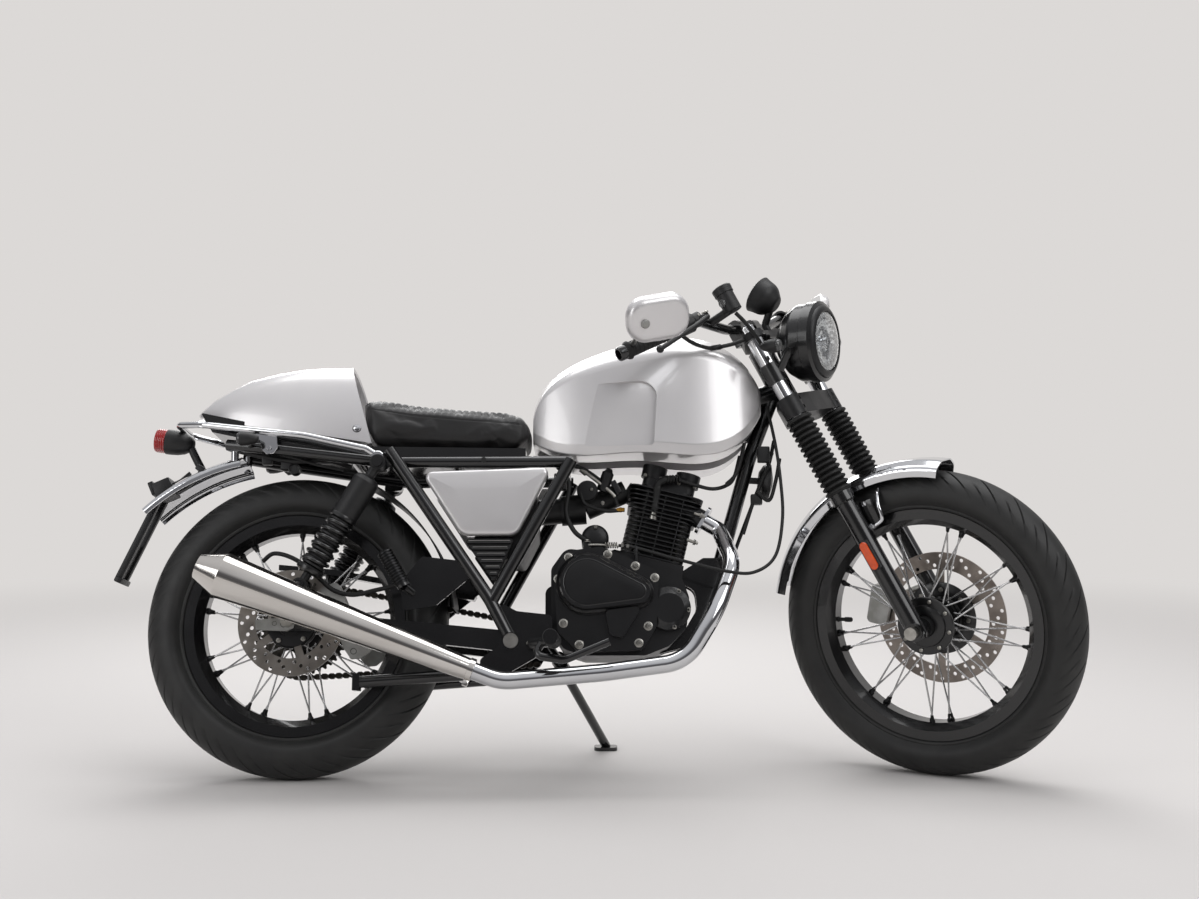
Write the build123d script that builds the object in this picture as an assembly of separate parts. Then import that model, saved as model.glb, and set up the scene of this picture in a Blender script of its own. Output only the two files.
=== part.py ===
from build123d import *
import os
from functools import cache
from math import atan2, cos, degrees, pi, radians, sin

# Cafe racer motorcycle, parked on its side stand with the front wheel turned to the right.
# All sizes are in millimetres.
# It is modelled upright and straight ahead, with the origin on the ground under the rear axle,
# +X towards the front wheel, +Y to the rider's left and +Z up. Then it is steered, leaned and set down.

# How it is parked
WHEELBASE = 1325.0
RAKE = 27.0
FORK_OFFSET = 41.0
STEER_RIGHT = 35.4
LEAN = 12.5

# Clearances
RUNNING_FIT = 0.05
SEAT_GAP = 0.3

# Wheels: the crown is half the tyre's width, the rim seat carries its bead
REAR_AXLE_HEIGHT = 312.0
FRONT_AXLE_HEIGHT = 318.5
REAR_TYRE_RADIUS = 312.0
REAR_TYRE_CROWN = 60.0
REAR_RIM_SEAT = 216.0
REAR_BEAD_HALF = 38.0
FRONT_TYRE_RADIUS = 318.5
FRONT_TYRE_CROWN = 50.0
FRONT_RIM_SEAT = 228.6
FRONT_BEAD_HALF = 31.0
TYRE_WALL = 10.0
RIM_LIP = 3.5
RIM_EDGE_RISE = 12.0
RIM_DEPTH = 22.0
RIM_WELL_HALF = 16.0
SPOKE_RADIUS = 1.8
SPOKES_PER_SIDE = 18
SPOKE_STAGGER = 3.2
SPOKE_SWEEP = 62.0
AXLE_RADIUS = 7.5
HUB_FLANGE_RADIUS = 46.0
HUB_FLANGE_WIDTH = 11.0
HUB_BARREL_RADIUS = 29.0
FRONT_FLANGE_Y = 30.0
REAR_FLANGE_Y = 32.0
DISC_THICKNESS = 4.0
FRONT_DISC_RADIUS = 139.0
FRONT_DISC_Y = 62.0
REAR_DISC_RADIUS = 108.0
REAR_DISC_Y = -80.0
DISC_BAND = 36.0
DISC_HOLE_RADIUS = 4.0
SPROCKET_Y = 73.0
SPROCKET_TEETH = 42
SPROCKET_THICKNESS = 6.0
CHAIN_PITCH = 15.0
CHAIN_LINK_HEIGHT = 12.0
CHAIN_WIDTHS = (16.0, 11.0)
DRIVE_SPROCKET_TEETH = 15

# Fork and steering: heights run up the steering axis from the front axle's level
FORK_SPACING = 94.0
FORK_LEG_RADIUS = 20.5
FORK_COLLAR_RADIUS = 25.0
FORK_TUBE_RADIUS = 17.5
FORK_TOP = 706.0
LEG_TOP = 318.0
LEG_FOOT = -20.0
GAITER_TOP = 499.0
GAITER_RADIUS = 29.0
GAITER_ROOT = 22.5
GAITER_FOLDS = 15
LOWER_YOKE_LOW = 501.0
LOWER_YOKE_HIGH = 546.0
UPPER_YOKE_LOW = 688.0
UPPER_YOKE_HIGH = 704.0
HEAD_TUBE_GAP = 5.5
STEM_RADIUS = 15.0
HEAD_TUBE_RADIUS = 27.0
BAR_RADIUS = 11.0
GRIP_RADIUS = 16.0
HEADLAMP_RADIUS = 86.0
HEADLAMP_DEPTH = 94.0
GAUGE_RADIUS = 39.0
FRONT_FENDER_RADIUS = 343.0
FENDER_HALF_WIDTH = 58.0
FENDER_THICKNESS = 3.0

# Frame
BACKBONE_RADIUS = 22.0
DOWN_TUBE_RADIUS = 15.0
SIDE_TUBE_RADIUS = 13.0
SIDE_TUBE_Y = 128.0
PLATE_INNER_Y = 115.0
PLATE_THICKNESS = 8.0
RAIL_Z = 640.0
RAIL_Y = 110.0
SWING_PIVOT = (451.0, 270.0)
SWING_PIVOT_RADIUS = 9.0
SWING_ARM_Y = 102.0
SWING_ARM_WIDTH = 22.0
SWING_ARM_HEIGHT = 40.0

# Tank, seat and tail
TANK_FLOOR = 655.0
TANK_HALF_WIDTH = 128.0
TANK_FLANGE = 6.0
TANK_TUNNEL_HALF = 36.0
KNEE_DEPTH = 17.0
SEAT_HALF_WIDTH = 112.0
TAIL_HALF_WIDTH = 104.0

# Engine
ENGINE_HALF_WIDTH = 92.0
CYLINDER_TILT = 14.0
CYLINDER_BASE = (735.0, 441.0)
BARREL_HEIGHT = 96.0
HEAD_HEIGHT = 62.0
ROCKER_HEIGHT = 44.0
FIN_PITCH = 9.6
FIN_THICKNESS = 2.6

# Exhaust
HEADER_RADIUS = 17.5
SILENCER_START_RADIUS = 21.0
SILENCER_END_RADIUS = 46.0
SILENCER_TIP_RADIUS = 25.0

# Stands
SIDE_STAND_PIVOT = (555.0, 128.0, 222.0)
SIDE_STAND_FOOT = (642.0, 318.0)
SIDE_STAND_RADIUS = 10.0
SIDE_STAND_TRAVEL = 98.0
CENTRE_STAND_PIVOT = (404.0, 208.0)
CENTRE_STAND_REACH = 262.0
CENTRE_STAND_HALF_WIDTH = 104.0
CENTRE_STAND_RADIUS = 12.0
CENTRE_STAND_TRAVEL = 105.0
STAND_PIN_RADIUS = 8.0

BASE = (Align.CENTER, Align.CENTER, Align.MIN)
MIDDLE = (Align.CENTER, Align.CENTER, Align.CENTER)


def side_plate(outline, y_low, y_high, radii=0.0):
    """Plate with a side-view outline of (x, z) corners, filled from y_low to y_high."""
    corners = [(x, y_low, z) for x, z in outline]
    edge = FilletPolyline(*corners, radius=radii, close=True)
    return extrude(make_face(edge), amount=y_high - y_low, dir=(0, 1, 0))


def turned(outline, seat, radii=0.0):
    """Round piece: an outline of (radius, height) corners turned about the seat's axis."""
    edge = FilletPolyline(*[(r, 0, h) for r, h in outline], radius=radii, close=True)
    return seat * revolve(make_face(edge), Axis.Z)


def rod(start, end, radius, end_radius=None):
    """Straight round bar from start to end, tapered where end_radius is given."""
    first, last = Vector(*start), Vector(*end)
    seat = Plane(origin=first, z_dir=last - first)
    length = (last - first).length
    if end_radius is None:
        return seat * Cylinder(radius, length, align=BASE)
    return seat * Cone(radius, end_radius, length, align=BASE)


def bent_tube(points, bends, radius):
    """Round bar along straight runs joined by tangent arcs."""
    path = FilletPolyline(*points, radius=bends)
    section = Plane(origin=path @ 0, z_dir=path % 0) * Circle(radius)
    return sweep(section, path=path)


def both_sides(piece):
    """The piece and its mirror image on the other side of the motorcycle."""
    return piece + mirror(piece, Plane.XZ)


def about_y(origin):
    """Seat whose axis runs to the left through origin."""
    return Plane(origin=origin, x_dir=(1, 0, 0), z_dir=(0, 1, 0))


def round_block(x_size, y_size, z_low, z_high, corner, seat=Plane.XY):
    """Upright block with rounded vertical corners, standing on the seat."""
    outline = Pos(0, 0, z_low) * RectangleRounded(x_size, y_size, corner)
    return seat * extrude(outline, amount=z_high - z_low)


# Frames of reference
RAKE_COS = cos(radians(RAKE))
RAKE_SIN = sin(radians(RAKE))
AXIS_FOOT = Vector(WHEELBASE - FORK_OFFSET * RAKE_COS, 0, FRONT_AXLE_HEIGHT - FORK_OFFSET * RAKE_SIN)
STEER_DIRECTION = Vector(-RAKE_SIN, 0, RAKE_COS)
STEER_AXIS = Axis(AXIS_FOOT, STEER_DIRECTION)
FORK_SEAT = Plane(origin=AXIS_FOOT, x_dir=(RAKE_COS, 0, RAKE_SIN), z_dir=STEER_DIRECTION)
REAR_AXLE = Vector(0, 0, REAR_AXLE_HEIGHT)
FRONT_AXLE = Vector(WHEELBASE, 0, FRONT_AXLE_HEIGHT)


WHEEL_SECTION = Plane(origin=(0, 0, 0), x_dir=(0, 1, 0), z_dir=(1, 0, 0))


def wheel_profile_face(corners):
    """Face of (across, radius) corners in the wheel's own section plane."""
    return WHEEL_SECTION * make_face(Polyline(*corners, close=True))


@cache
def tyre(radius, crown, rim_seat, bead_half):
    """Hollow tyre with a round crown, straight sides and a bead on each rim seat."""
    belt = radius - crown
    rim_edge = rim_seat + RIM_EDGE_RISE

    def envelope(inset):
        half, bead = crown - inset, bead_half - inset
        corners = [(-half, belt), (-bead, rim_edge), (-bead, rim_seat), (bead, rim_seat), (bead, rim_edge), (half, belt)]
        sides = Polyline(*corners)
        return make_face([sides, ThreePointArc((half, belt), (0, belt + half), (-half, belt))])

    return revolve(WHEEL_SECTION * (envelope(0.0) - envelope(TYRE_WALL)), Axis.Y)


def rim(rim_seat, bead_half):
    """Rolled rim with a lip on each side and a well between the beads."""
    inside = bead_half + SEAT_GAP
    outside = inside + RIM_LIP
    edge = rim_seat + RIM_EDGE_RISE
    seat = rim_seat - SEAT_GAP
    well = rim_seat - RIM_DEPTH * 0.55
    inner = rim_seat - RIM_DEPTH
    half = [(outside, edge), (inside, edge), (inside, seat), (RIM_WELL_HALF + 2.0, seat), (RIM_WELL_HALF - 2.0, well)]
    back = [(RIM_WELL_HALF, inner), (outside, rim_seat - 8.0)]
    corners = half + [(-y, r) for y, r in reversed(half)] + [(-y, r) for y, r in reversed(back)] + back
    return revolve(wheel_profile_face(corners), Axis.Y)


def spokes(flange_y, rim_seat):
    """Crossed wire spokes, trimmed just short of the hub flanges and the rim."""
    hub_end = HUB_FLANGE_RADIUS - 8.0
    rim_end = rim_seat - RIM_DEPTH + 6.0
    wires = []
    for side in (-1, 1):
        for index in range(SPOKES_PER_SIDE):
            lead = 1 if index % 2 else -1
            hub_angle = radians(index * 360.0 / SPOKES_PER_SIDE + (side - 1) * 5.0)
            rim_angle = hub_angle + lead * radians(SPOKE_SWEEP) * 0.5
            hub_y = side * (flange_y + lead * SPOKE_STAGGER)
            rim_y = side * (SPOKE_STAGGER + 2.0 + lead * SPOKE_STAGGER)
            start = (hub_end * cos(hub_angle), hub_y, hub_end * sin(hub_angle))
            end = (rim_end * cos(rim_angle), rim_y, rim_end * sin(rim_angle))
            wires.append(rod(start, end, SPOKE_RADIUS))
    inner = HUB_FLANGE_RADIUS + SEAT_GAP
    outer = rim_seat - RIM_DEPTH - SEAT_GAP
    ring = about_y((0, 0, 0)) * (Cylinder(outer, 2 * flange_y + 40, align=MIDDLE) - Cylinder(inner, 2 * flange_y + 40, align=MIDDLE))
    return Compound([wire & ring for wire in wires])


def hub(flange_y, left_end, right_end, left_radius, right_radius):
    """Turned hub with two spoke flanges and a bearing boss at each end, bored for its axle."""
    half = HUB_FLANGE_WIDTH / 2
    bore = AXLE_RADIUS + RUNNING_FIT
    outline = [
        (bore, right_end), (right_radius, right_end), (right_radius, -flange_y - half),
        (HUB_FLANGE_RADIUS, -flange_y - half), (HUB_FLANGE_RADIUS, -flange_y + half), (HUB_BARREL_RADIUS, -flange_y + half),
        (HUB_BARREL_RADIUS, flange_y - half), (HUB_FLANGE_RADIUS, flange_y - half), (HUB_FLANGE_RADIUS, flange_y + half),
        (left_radius, flange_y + half), (left_radius, left_end), (bore, left_end),
    ]
    return turned(outline, about_y((0, 0, 0)))


def brake_disc(radius, disc_y, hub_radius, arms, rings):
    """Drilled braking band on a spider with open windows; rings are (radius from rim, holes, first angle)."""
    seat = about_y((0, disc_y, 0))
    band = Cylinder(radius, DISC_THICKNESS, align=MIDDLE) - Cylinder(radius - DISC_BAND, DISC_THICKNESS, align=MIDDLE)
    for inset, holes, first in rings:
        band -= PolarLocations(radius - inset, holes, first) * Cylinder(DISC_HOLE_RADIUS, DISC_THICKNESS, align=MIDDLE)
    centre = Cylinder(hub_radius + 14.0, DISC_THICKNESS, align=MIDDLE) - Cylinder(hub_radius, DISC_THICKNESS, align=MIDDLE)
    reach = radius - DISC_BAND + 3.0 - hub_radius
    arm = Pos(hub_radius + 4.0 + reach / 2, 0, 0) * Box(reach, 15.0, DISC_THICKNESS, align=MIDDLE)
    return seat * (band + centre + PolarLocations(0, arms) * arm)


def sprocket():
    """Toothed rear sprocket whose tips stay inside the chain's rollers."""
    pitch_radius = CHAIN_PITCH / (2 * sin(pi / SPROCKET_TEETH))
    tip = pitch_radius - CHAIN_LINK_HEIGHT / 2 - SEAT_GAP
    root = tip - 6.0
    corners = []
    for tooth in range(SPROCKET_TEETH):
        for share, radius in ((-0.36, root), (-0.14, tip), (0.14, tip), (0.36, root)):
            angle = (tooth + share) * 2 * pi / SPROCKET_TEETH
            corners.append((radius * cos(angle), radius * sin(angle)))
    blank = extrude(make_face(Polyline(*corners, close=True)), amount=SPROCKET_THICKNESS / 2, both=True)
    windows = PolarLocations(pitch_radius * 0.66, 6) * Cylinder(15.0, SPROCKET_THICKNESS, align=MIDDLE)
    bore = Cylinder(REAR_BOSS_LEFT + SEAT_GAP, SPROCKET_THICKNESS, align=MIDDLE)
    return about_y((0, SPROCKET_Y, 0)) * (blank - windows - bore)


REAR_BOSS_LEFT = 30.0
REAR_BOSS_RIGHT = 27.0
FRONT_BOSS_LEFT = 38.0
FRONT_BOSS_RIGHT = 22.0
REAR_HUB_LEFT_END = SPROCKET_Y + SPROCKET_THICKNESS / 2 + 2.0
REAR_HUB_RIGHT_END = REAR_DISC_Y - DISC_THICKNESS / 2 - 2.0
FRONT_HUB_LEFT_END = FRONT_DISC_Y + DISC_THICKNESS / 2 + 2.0
FRONT_HUB_RIGHT_END = -FORK_SPACING + FORK_LEG_RADIUS + 6.0


def rear_wheel():
    """Parts of the rear wheel about its own centre."""
    disc_rings = ((8.0, 16, 0.0), (18.0, 16, 7.5), (28.0, 16, 15.0))
    return {
        "rear_tyre": tyre(REAR_TYRE_RADIUS, REAR_TYRE_CROWN, REAR_RIM_SEAT, REAR_BEAD_HALF),
        "rear_rim": rim(REAR_RIM_SEAT, REAR_BEAD_HALF),
        "rear_spokes": spokes(REAR_FLANGE_Y, REAR_RIM_SEAT),
        "rear_hub": hub(REAR_FLANGE_Y, REAR_HUB_LEFT_END, REAR_HUB_RIGHT_END, REAR_BOSS_LEFT, REAR_BOSS_RIGHT),
        "rear_brake_disc": brake_disc(REAR_DISC_RADIUS, REAR_DISC_Y, REAR_BOSS_RIGHT + SEAT_GAP, 5, disc_rings),
        "rear_sprocket": sprocket(),
    }


def front_wheel():
    """Parts of the front wheel about its own centre."""
    disc_rings = ((8.0, 18, 0.0), (18.0, 18, 6.7), (28.0, 18, 13.3))
    return {
        "front_tyre": tyre(FRONT_TYRE_RADIUS, FRONT_TYRE_CROWN, FRONT_RIM_SEAT, FRONT_BEAD_HALF),
        "front_rim": rim(FRONT_RIM_SEAT, FRONT_BEAD_HALF),
        "front_spokes": spokes(FRONT_FLANGE_Y, FRONT_RIM_SEAT),
        "front_hub": hub(FRONT_FLANGE_Y, FRONT_HUB_LEFT_END, FRONT_HUB_RIGHT_END, FRONT_BOSS_LEFT, FRONT_BOSS_RIGHT),
        "front_brake_disc": brake_disc(FRONT_DISC_RADIUS, FRONT_DISC_Y, FRONT_BOSS_LEFT + SEAT_GAP, 6, disc_rings),
    }


# Steering group, in the fork's own frame: x ahead of the steering axis, y left, z up the axis

@cache
def fork_lower_legs():
    """Cast lower legs with a top collar and an axle lug."""
    outline = [
        (0, LEG_FOOT), (15.0, LEG_FOOT), (FORK_LEG_RADIUS, LEG_FOOT + 8.0), (FORK_LEG_RADIUS, LEG_TOP - 24.0),
        (FORK_COLLAR_RADIUS, LEG_TOP - 20.0), (FORK_COLLAR_RADIUS, LEG_TOP), (0, LEG_TOP),
    ]
    leg = turned(outline, Plane(origin=(FORK_OFFSET, -FORK_SPACING, 0)))
    boss = about_y((FORK_OFFSET, -FORK_SPACING, 0)) * Cylinder(19.0, 2 * FORK_LEG_RADIUS + 6.0, align=MIDDLE)
    bore = about_y((FORK_OFFSET, -FORK_SPACING, 0)) * Cylinder(AXLE_RADIUS + RUNNING_FIT, 90.0, align=MIDDLE)
    reflector_pad = Pos(FORK_OFFSET, -FORK_SPACING - FORK_LEG_RADIUS, 176.0) * Box(20.0, 8.0, 62.0, align=MIDDLE)
    return both_sides(leg + boss + reflector_pad - bore)


def fork_tubes():
    """Chromed stanchions from the collars to the top yoke, with their cap bolts."""
    seat = Plane(origin=(FORK_OFFSET, -FORK_SPACING, 0))
    outline = [
        (0, LEG_TOP + SEAT_GAP), (FORK_TUBE_RADIUS, LEG_TOP + SEAT_GAP), (FORK_TUBE_RADIUS, FORK_TOP),
        (12.0, FORK_TOP + 2.0), (12.0, FORK_TOP + 10.0), (0, FORK_TOP + 10.0),
    ]
    return both_sides(turned(outline, seat))


def fork_gaiters():
    """Rubber bellows over the stanchions, as a turned zigzag of rounded folds."""
    low = LEG_TOP + 2 * SEAT_GAP
    pitch = (GAITER_TOP - low) / GAITER_FOLDS
    inside = FORK_TUBE_RADIUS + SEAT_GAP
    outline = [(inside, low)]
    for fold in range(GAITER_FOLDS):
        base = low + fold * pitch
        outline += [(GAITER_ROOT, base), (GAITER_RADIUS, base + pitch * 0.35), (GAITER_RADIUS, base + pitch * 0.65)]
    outline += [(GAITER_ROOT, GAITER_TOP), (inside, GAITER_TOP)]
    return both_sides(turned(outline, Plane(origin=(FORK_OFFSET, -FORK_SPACING, 0))))


def yoke(low, high, nose):
    """Bridge between the fork tubes and the stem, bored for all three."""
    grip = FORK_TUBE_RADIUS + 7.0
    outline = [
        (-24.0, -22.0), (-24.0, 22.0), (FORK_OFFSET - 18.0, FORK_SPACING + grip - 6), (FORK_OFFSET + 18.0, FORK_SPACING + grip - 6),
        (nose, 30.0), (nose, -30.0), (FORK_OFFSET + 18.0, -FORK_SPACING - grip + 6), (FORK_OFFSET - 18.0, -FORK_SPACING - grip + 6),
    ]
    edge = FilletPolyline(*[(x, y, low) for x, y in outline], radius=12.0, close=True)
    bridge = extrude(make_face(edge), amount=high - low)
    for side in (-1, 1):
        clamp_at = Pos(FORK_OFFSET, side * FORK_SPACING, low)
        bridge += clamp_at * Cylinder(grip, high - low, align=BASE)
        bridge -= clamp_at * Cylinder(FORK_TUBE_RADIUS + RUNNING_FIT, high - low, align=BASE)
    return bridge - Pos(0, 0, low) * Cylinder(STEM_RADIUS + RUNNING_FIT, high - low, align=BASE)


def steering_stem():
    """Stem through the frame's head tube, with its top nut."""
    outline = [
        (0, LOWER_YOKE_LOW), (STEM_RADIUS, LOWER_YOKE_LOW), (STEM_RADIUS, UPPER_YOKE_HIGH + SEAT_GAP),
        (19.0, UPPER_YOKE_HIGH + SEAT_GAP), (17.0, UPPER_YOKE_HIGH + 14.0), (0, UPPER_YOKE_HIGH + 14.0),
    ]
    return turned(outline, Plane.XY)


BAR_RISE_Z = UPPER_YOKE_HIGH + 38.0
BAR_POINTS = [
    (-104.0, -352.0, BAR_RISE_Z + 16.0), (-4.0, -212.0, BAR_RISE_Z + 24.0), (-6.0, -92.0, BAR_RISE_Z),
    (-6.0, 92.0, BAR_RISE_Z), (-4.0, 212.0, BAR_RISE_Z + 24.0), (-104.0, 352.0, BAR_RISE_Z + 16.0),
]
BAR_BENDS = [60.0, 120.0, 120.0, 60.0]
GRIP_START = Vector(*BAR_POINTS[0])
GRIP_DIRECTION = (Vector(*BAR_POINTS[1]) - GRIP_START).normalized()
GRIP_LENGTH = 118.0


@cache
def handlebar():
    """Low swept bar in two risers on the top yoke."""
    bar = bent_tube(BAR_POINTS, BAR_BENDS, BAR_RADIUS)
    riser = Pos(-6.0, -38.0, UPPER_YOKE_HIGH + SEAT_GAP) * Box(34.0, 26.0, 56.0, align=BASE)
    risers = both_sides(fillet(riser.edges().filter_by(Axis.Y).group_by(Axis.Z)[-1], 12.0))
    return bar + risers


@cache
def bar_grips():
    """Rubber grips with ribs, on the bar's ends."""
    bore = BAR_RADIUS + RUNNING_FIT
    ribs = 12
    step = GRIP_LENGTH / ribs
    outline = [(bore, 0)]
    for rib in range(ribs):
        outline += [(GRIP_RADIUS, rib * step), (GRIP_RADIUS, rib * step + step * 0.7), (GRIP_RADIUS - 1.5, rib * step + step * 0.72)]
    outline += [(GRIP_RADIUS - 1.5, GRIP_LENGTH - 1.0), (19.0, GRIP_LENGTH - 1.0), (19.0, GRIP_LENGTH + 4.0), (bore, GRIP_LENGTH + 4.0)]
    seat = Plane(origin=GRIP_START + GRIP_DIRECTION * 3.0, z_dir=GRIP_DIRECTION)
    return both_sides(turned(outline, seat))


def bar_switches():
    """Switch housings inboard of the grips, each with its lever perch."""
    start = GRIP_START + GRIP_DIRECTION * (GRIP_LENGTH + 8.0)
    bore = BAR_RADIUS + RUNNING_FIT
    outline = [(bore, 0), (19.0, 0), (21.0, 4.0), (21.0, 34.0), (18.0, 38.0), (bore, 38.0)]
    pod = turned(outline, Plane(origin=start, z_dir=GRIP_DIRECTION))
    perch_at = start + GRIP_DIRECTION * 38.3
    perch = turned([(bore, 0), (16.0, 0), (16.0, 17.0), (bore, 17.0)], Plane(origin=perch_at, z_dir=GRIP_DIRECTION))
    return both_sides(pod + perch)


LEVER_PIVOT = GRIP_START + GRIP_DIRECTION * (GRIP_LENGTH + 54.0) + Vector(30.0, 0, -8.0)
LEVER_TIP = GRIP_START + GRIP_DIRECTION * 14.0 + Vector(52.0, 0, -34.0)


def control_levers():
    """Brake and clutch levers with a ball at the tip."""
    knee = LEVER_PIVOT * 0.65 + LEVER_TIP * 0.35 + Vector(14.0, 0, -2.0)
    blade = bent_tube([tuple(LEVER_PIVOT), tuple(knee), tuple(LEVER_TIP)], [120.0], 5.0)
    inner = LEVER_PIVOT - Vector(14.2, 0, -4.0)
    arm = rod(tuple(inner), tuple(LEVER_PIVOT), 7.5)
    ball = Pos(*LEVER_TIP) * Sphere(8.0)
    return both_sides(blade + ball + arm)


def brake_reservoir():
    """Front brake fluid reservoir on its master cylinder."""
    cup = Pos(58.0, -158.0, BAR_RISE_Z + 8.0) * Cylinder(19.0, 40.0, align=BASE)
    cap = Pos(58.0, -158.0, BAR_RISE_Z + 48.0) * Cylinder(21.0, 9.0, align=BASE)
    arm = rod((0, -160.0, BAR_RISE_Z + 14.0), (50.0, -158.0, BAR_RISE_Z + 14.0), 9.0)
    return cup + cap + arm


MIRROR_Y = 384.0


def mirror_shell():
    """Oval shell standing on a bent stalk, clamped at the bar's end."""
    back = Ellipse(78.0, 46.0)
    front = Pos(0, 0, 26.0) * Ellipse(62.0, 34.0)
    return loft([back, front])


def bar_end_mirrors():
    """Mirror shells on their stalks at the bar's ends."""
    tip = GRIP_START - GRIP_DIRECTION * 0.3
    outer = tip - GRIP_DIRECTION * 22.0
    centre = Vector(0.0, -MIRROR_Y, BAR_RISE_Z + 50.0)
    seat = Plane(origin=centre, x_dir=(0.84, 0.45, 0.30), z_dir=(0.45, -0.88, 0.10))
    shell = seat * mirror_shell()
    socket = rod(tuple(outer), tuple(tip), 15.0)
    stalk_end = seat.from_local_coords(Vector(-48.0, -10.0, 10.0))
    stalk = bent_tube([tuple(outer + GRIP_DIRECTION * 8.0), tuple(outer + Vector(4.0, -22.0, 26.0)), tuple(stalk_end)], [18.0], 5.5)
    return both_sides(shell + (socket + stalk - shell))


LAMP_CENTRE = Vector(136.0, 0.0, 624.0)
LAMP_SEAT = Plane(origin=LAMP_CENTRE, x_dir=(0, 1, 0), z_dir=(RAKE_COS, 0, -RAKE_SIN))


@cache
def headlamp_bucket():
    """Round shell open to the front, with a rolled rim."""
    outline = [
        (0, -HEADLAMP_DEPTH), (34.0, -HEADLAMP_DEPTH), (68.0, -HEADLAMP_DEPTH + 24.0), (HEADLAMP_RADIUS - 3.0, -46.0),
        (HEADLAMP_RADIUS - 3.0, -22.0), (HEADLAMP_RADIUS, -20.0), (HEADLAMP_RADIUS, 0.0), (HEADLAMP_RADIUS - 8.0, 4.0),
        (HEADLAMP_RADIUS - 8.0, -8.0), (0, -8.0),
    ]
    radii = [0, 16.0, 24.0, 16.0, 0, 0, 0, 0, 0, 0]
    return turned(outline, LAMP_SEAT, radii)


def headlamp_lens():
    """Domed clear lens in the rim."""
    edge = HEADLAMP_RADIUS - 8.0 - SEAT_GAP
    outline = [(0, -7.7), (edge, -7.7), (edge, 4.0), (edge * 0.55, 11.0), (0, 14.0)]
    return turned(outline, LAMP_SEAT, [0, 0, 6.0, 60.0, 0])


def headlamp_brackets():
    """Ears from the fork tubes to the sides of the headlamp."""
    height = LAMP_CENTRE.Z - 20.0
    collar = Pos(FORK_OFFSET, -FORK_SPACING, height - 22.0) * (
        Cylinder(FORK_TUBE_RADIUS + 4.0, 44.0, align=BASE) - Cylinder(FORK_TUBE_RADIUS + RUNNING_FIT, 44.0, align=BASE))
    ear_start = (FORK_OFFSET + FORK_TUBE_RADIUS, -FORK_SPACING, height)
    ear_end = (LAMP_CENTRE.X - 40.0, -HEADLAMP_RADIUS - 8.0, height + 24.0)
    ear = rod(ear_start, ear_end, 8.0)
    stud = rod((LAMP_CENTRE.X - 40.0, -HEADLAMP_RADIUS - 14.0, height + 24.0), (LAMP_CENTRE.X - 40.0, -40.0, height + 24.0), 8.0)
    return both_sides(collar + ear + stud - Pos(FORK_OFFSET, -FORK_SPACING, height - 60.0) * Cylinder(FORK_TUBE_RADIUS + RUNNING_FIT, 120.0, align=BASE))


GAUGE_CENTRE = Vector(60.0, 0.0, 790.0)
GAUGE_SEAT = Plane(origin=GAUGE_CENTRE, x_dir=(0, 1, 0), z_dir=(-0.50, 0, 0.866))


def gauge():
    """Single round instrument in a deep bowl on a bracket over the top yoke."""
    outline = [
        (0, -52.0), (16.0, -52.0), (GAUGE_RADIUS - 3.0, -30.0), (GAUGE_RADIUS, -8.0), (GAUGE_RADIUS + 2.0, 0.0),
        (GAUGE_RADIUS - 3.0, 3.0), (GAUGE_RADIUS - 5.0, -2.0), (0, -2.0),
    ]
    bowl = turned(outline, GAUGE_SEAT, [0, 12.0, 30.0, 0, 0, 0, 0, 0])
    bracket = bent_tube([(40.0, 0, UPPER_YOKE_HIGH + SEAT_GAP), (40.0, 0, UPPER_YOKE_HIGH + 20.0), tuple(GAUGE_CENTRE + GAUGE_SEAT.z_dir * -40.0)], [12.0], 8.0)
    return bowl + bracket


def front_indicators():
    """Small round indicators on short stems beside the headlamp."""
    body_at = Plane(origin=(66.0, -172.0, 585.0), x_dir=(0, 1, 0), z_dir=(RAKE_COS, 0, -RAKE_SIN))
    body = turned([(0, -34.0), (12.0, -34.0), (25.0, -8.0), (25.0, 6.0), (14.0, 14.0), (0, 16.0)], body_at, [0, 8.0, 8.0, 4.0, 6.0, 0])
    stem = rod((FORK_OFFSET + 4.0, -FORK_SPACING, 585.0), (62.0, -172.0, 585.0), 6.5)
    tube = Pos(FORK_OFFSET, -FORK_SPACING, 540.0) * Cylinder(FORK_TUBE_RADIUS + SEAT_GAP, 120.0, align=BASE)
    return both_sides(body + stem - tube) - headlamp_shell()


def front_fender_shell():
    """Chromed guard arched over the front tyre, its section a shallow crown with turned-down sides."""
    top = FRONT_FENDER_RADIUS
    side = FENDER_HALF_WIDTH
    outside = [(-side, top - 34.0), (-side, top - 14.0), (-side * 0.5, top), (side * 0.5, top), (side, top - 14.0), (side, top - 34.0)]
    inside = [(y * (side - FENDER_THICKNESS) / side, r - FENDER_THICKNESS) for y, r in reversed(outside)]
    inside[0] = (inside[0][0], top - 34.0)
    inside[-1] = (inside[-1][0], top - 34.0)
    corners = [(0, y, r) for y, r in outside + inside]
    rounds = [0, 12.0, 30.0, 30.0, 12.0, 0, 0, 9.0, 27.0, 27.0, 9.0, 0]
    face = make_face(FilletPolyline(*corners, radius=rounds, close=True))
    swept = revolve(Rot(0, FENDER_FRONT_ANGLE, 0) * face, Axis.Y, FENDER_ARC)
    return Pos(FORK_OFFSET, 0, 0) * swept


FENDER_FRONT_ANGLE = 36.0
FENDER_ARC = -87.0


def fender_stays():
    """Arms that carry the front fender on the lower legs."""
    hook = (FORK_OFFSET, -FORK_SPACING + FORK_LEG_RADIUS + SEAT_GAP, 262.0)
    edge = (FORK_OFFSET - 6.0, -FENDER_HALF_WIDTH - 1.0, 318.0)
    return both_sides(rod(hook, edge, 5.0))


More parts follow.
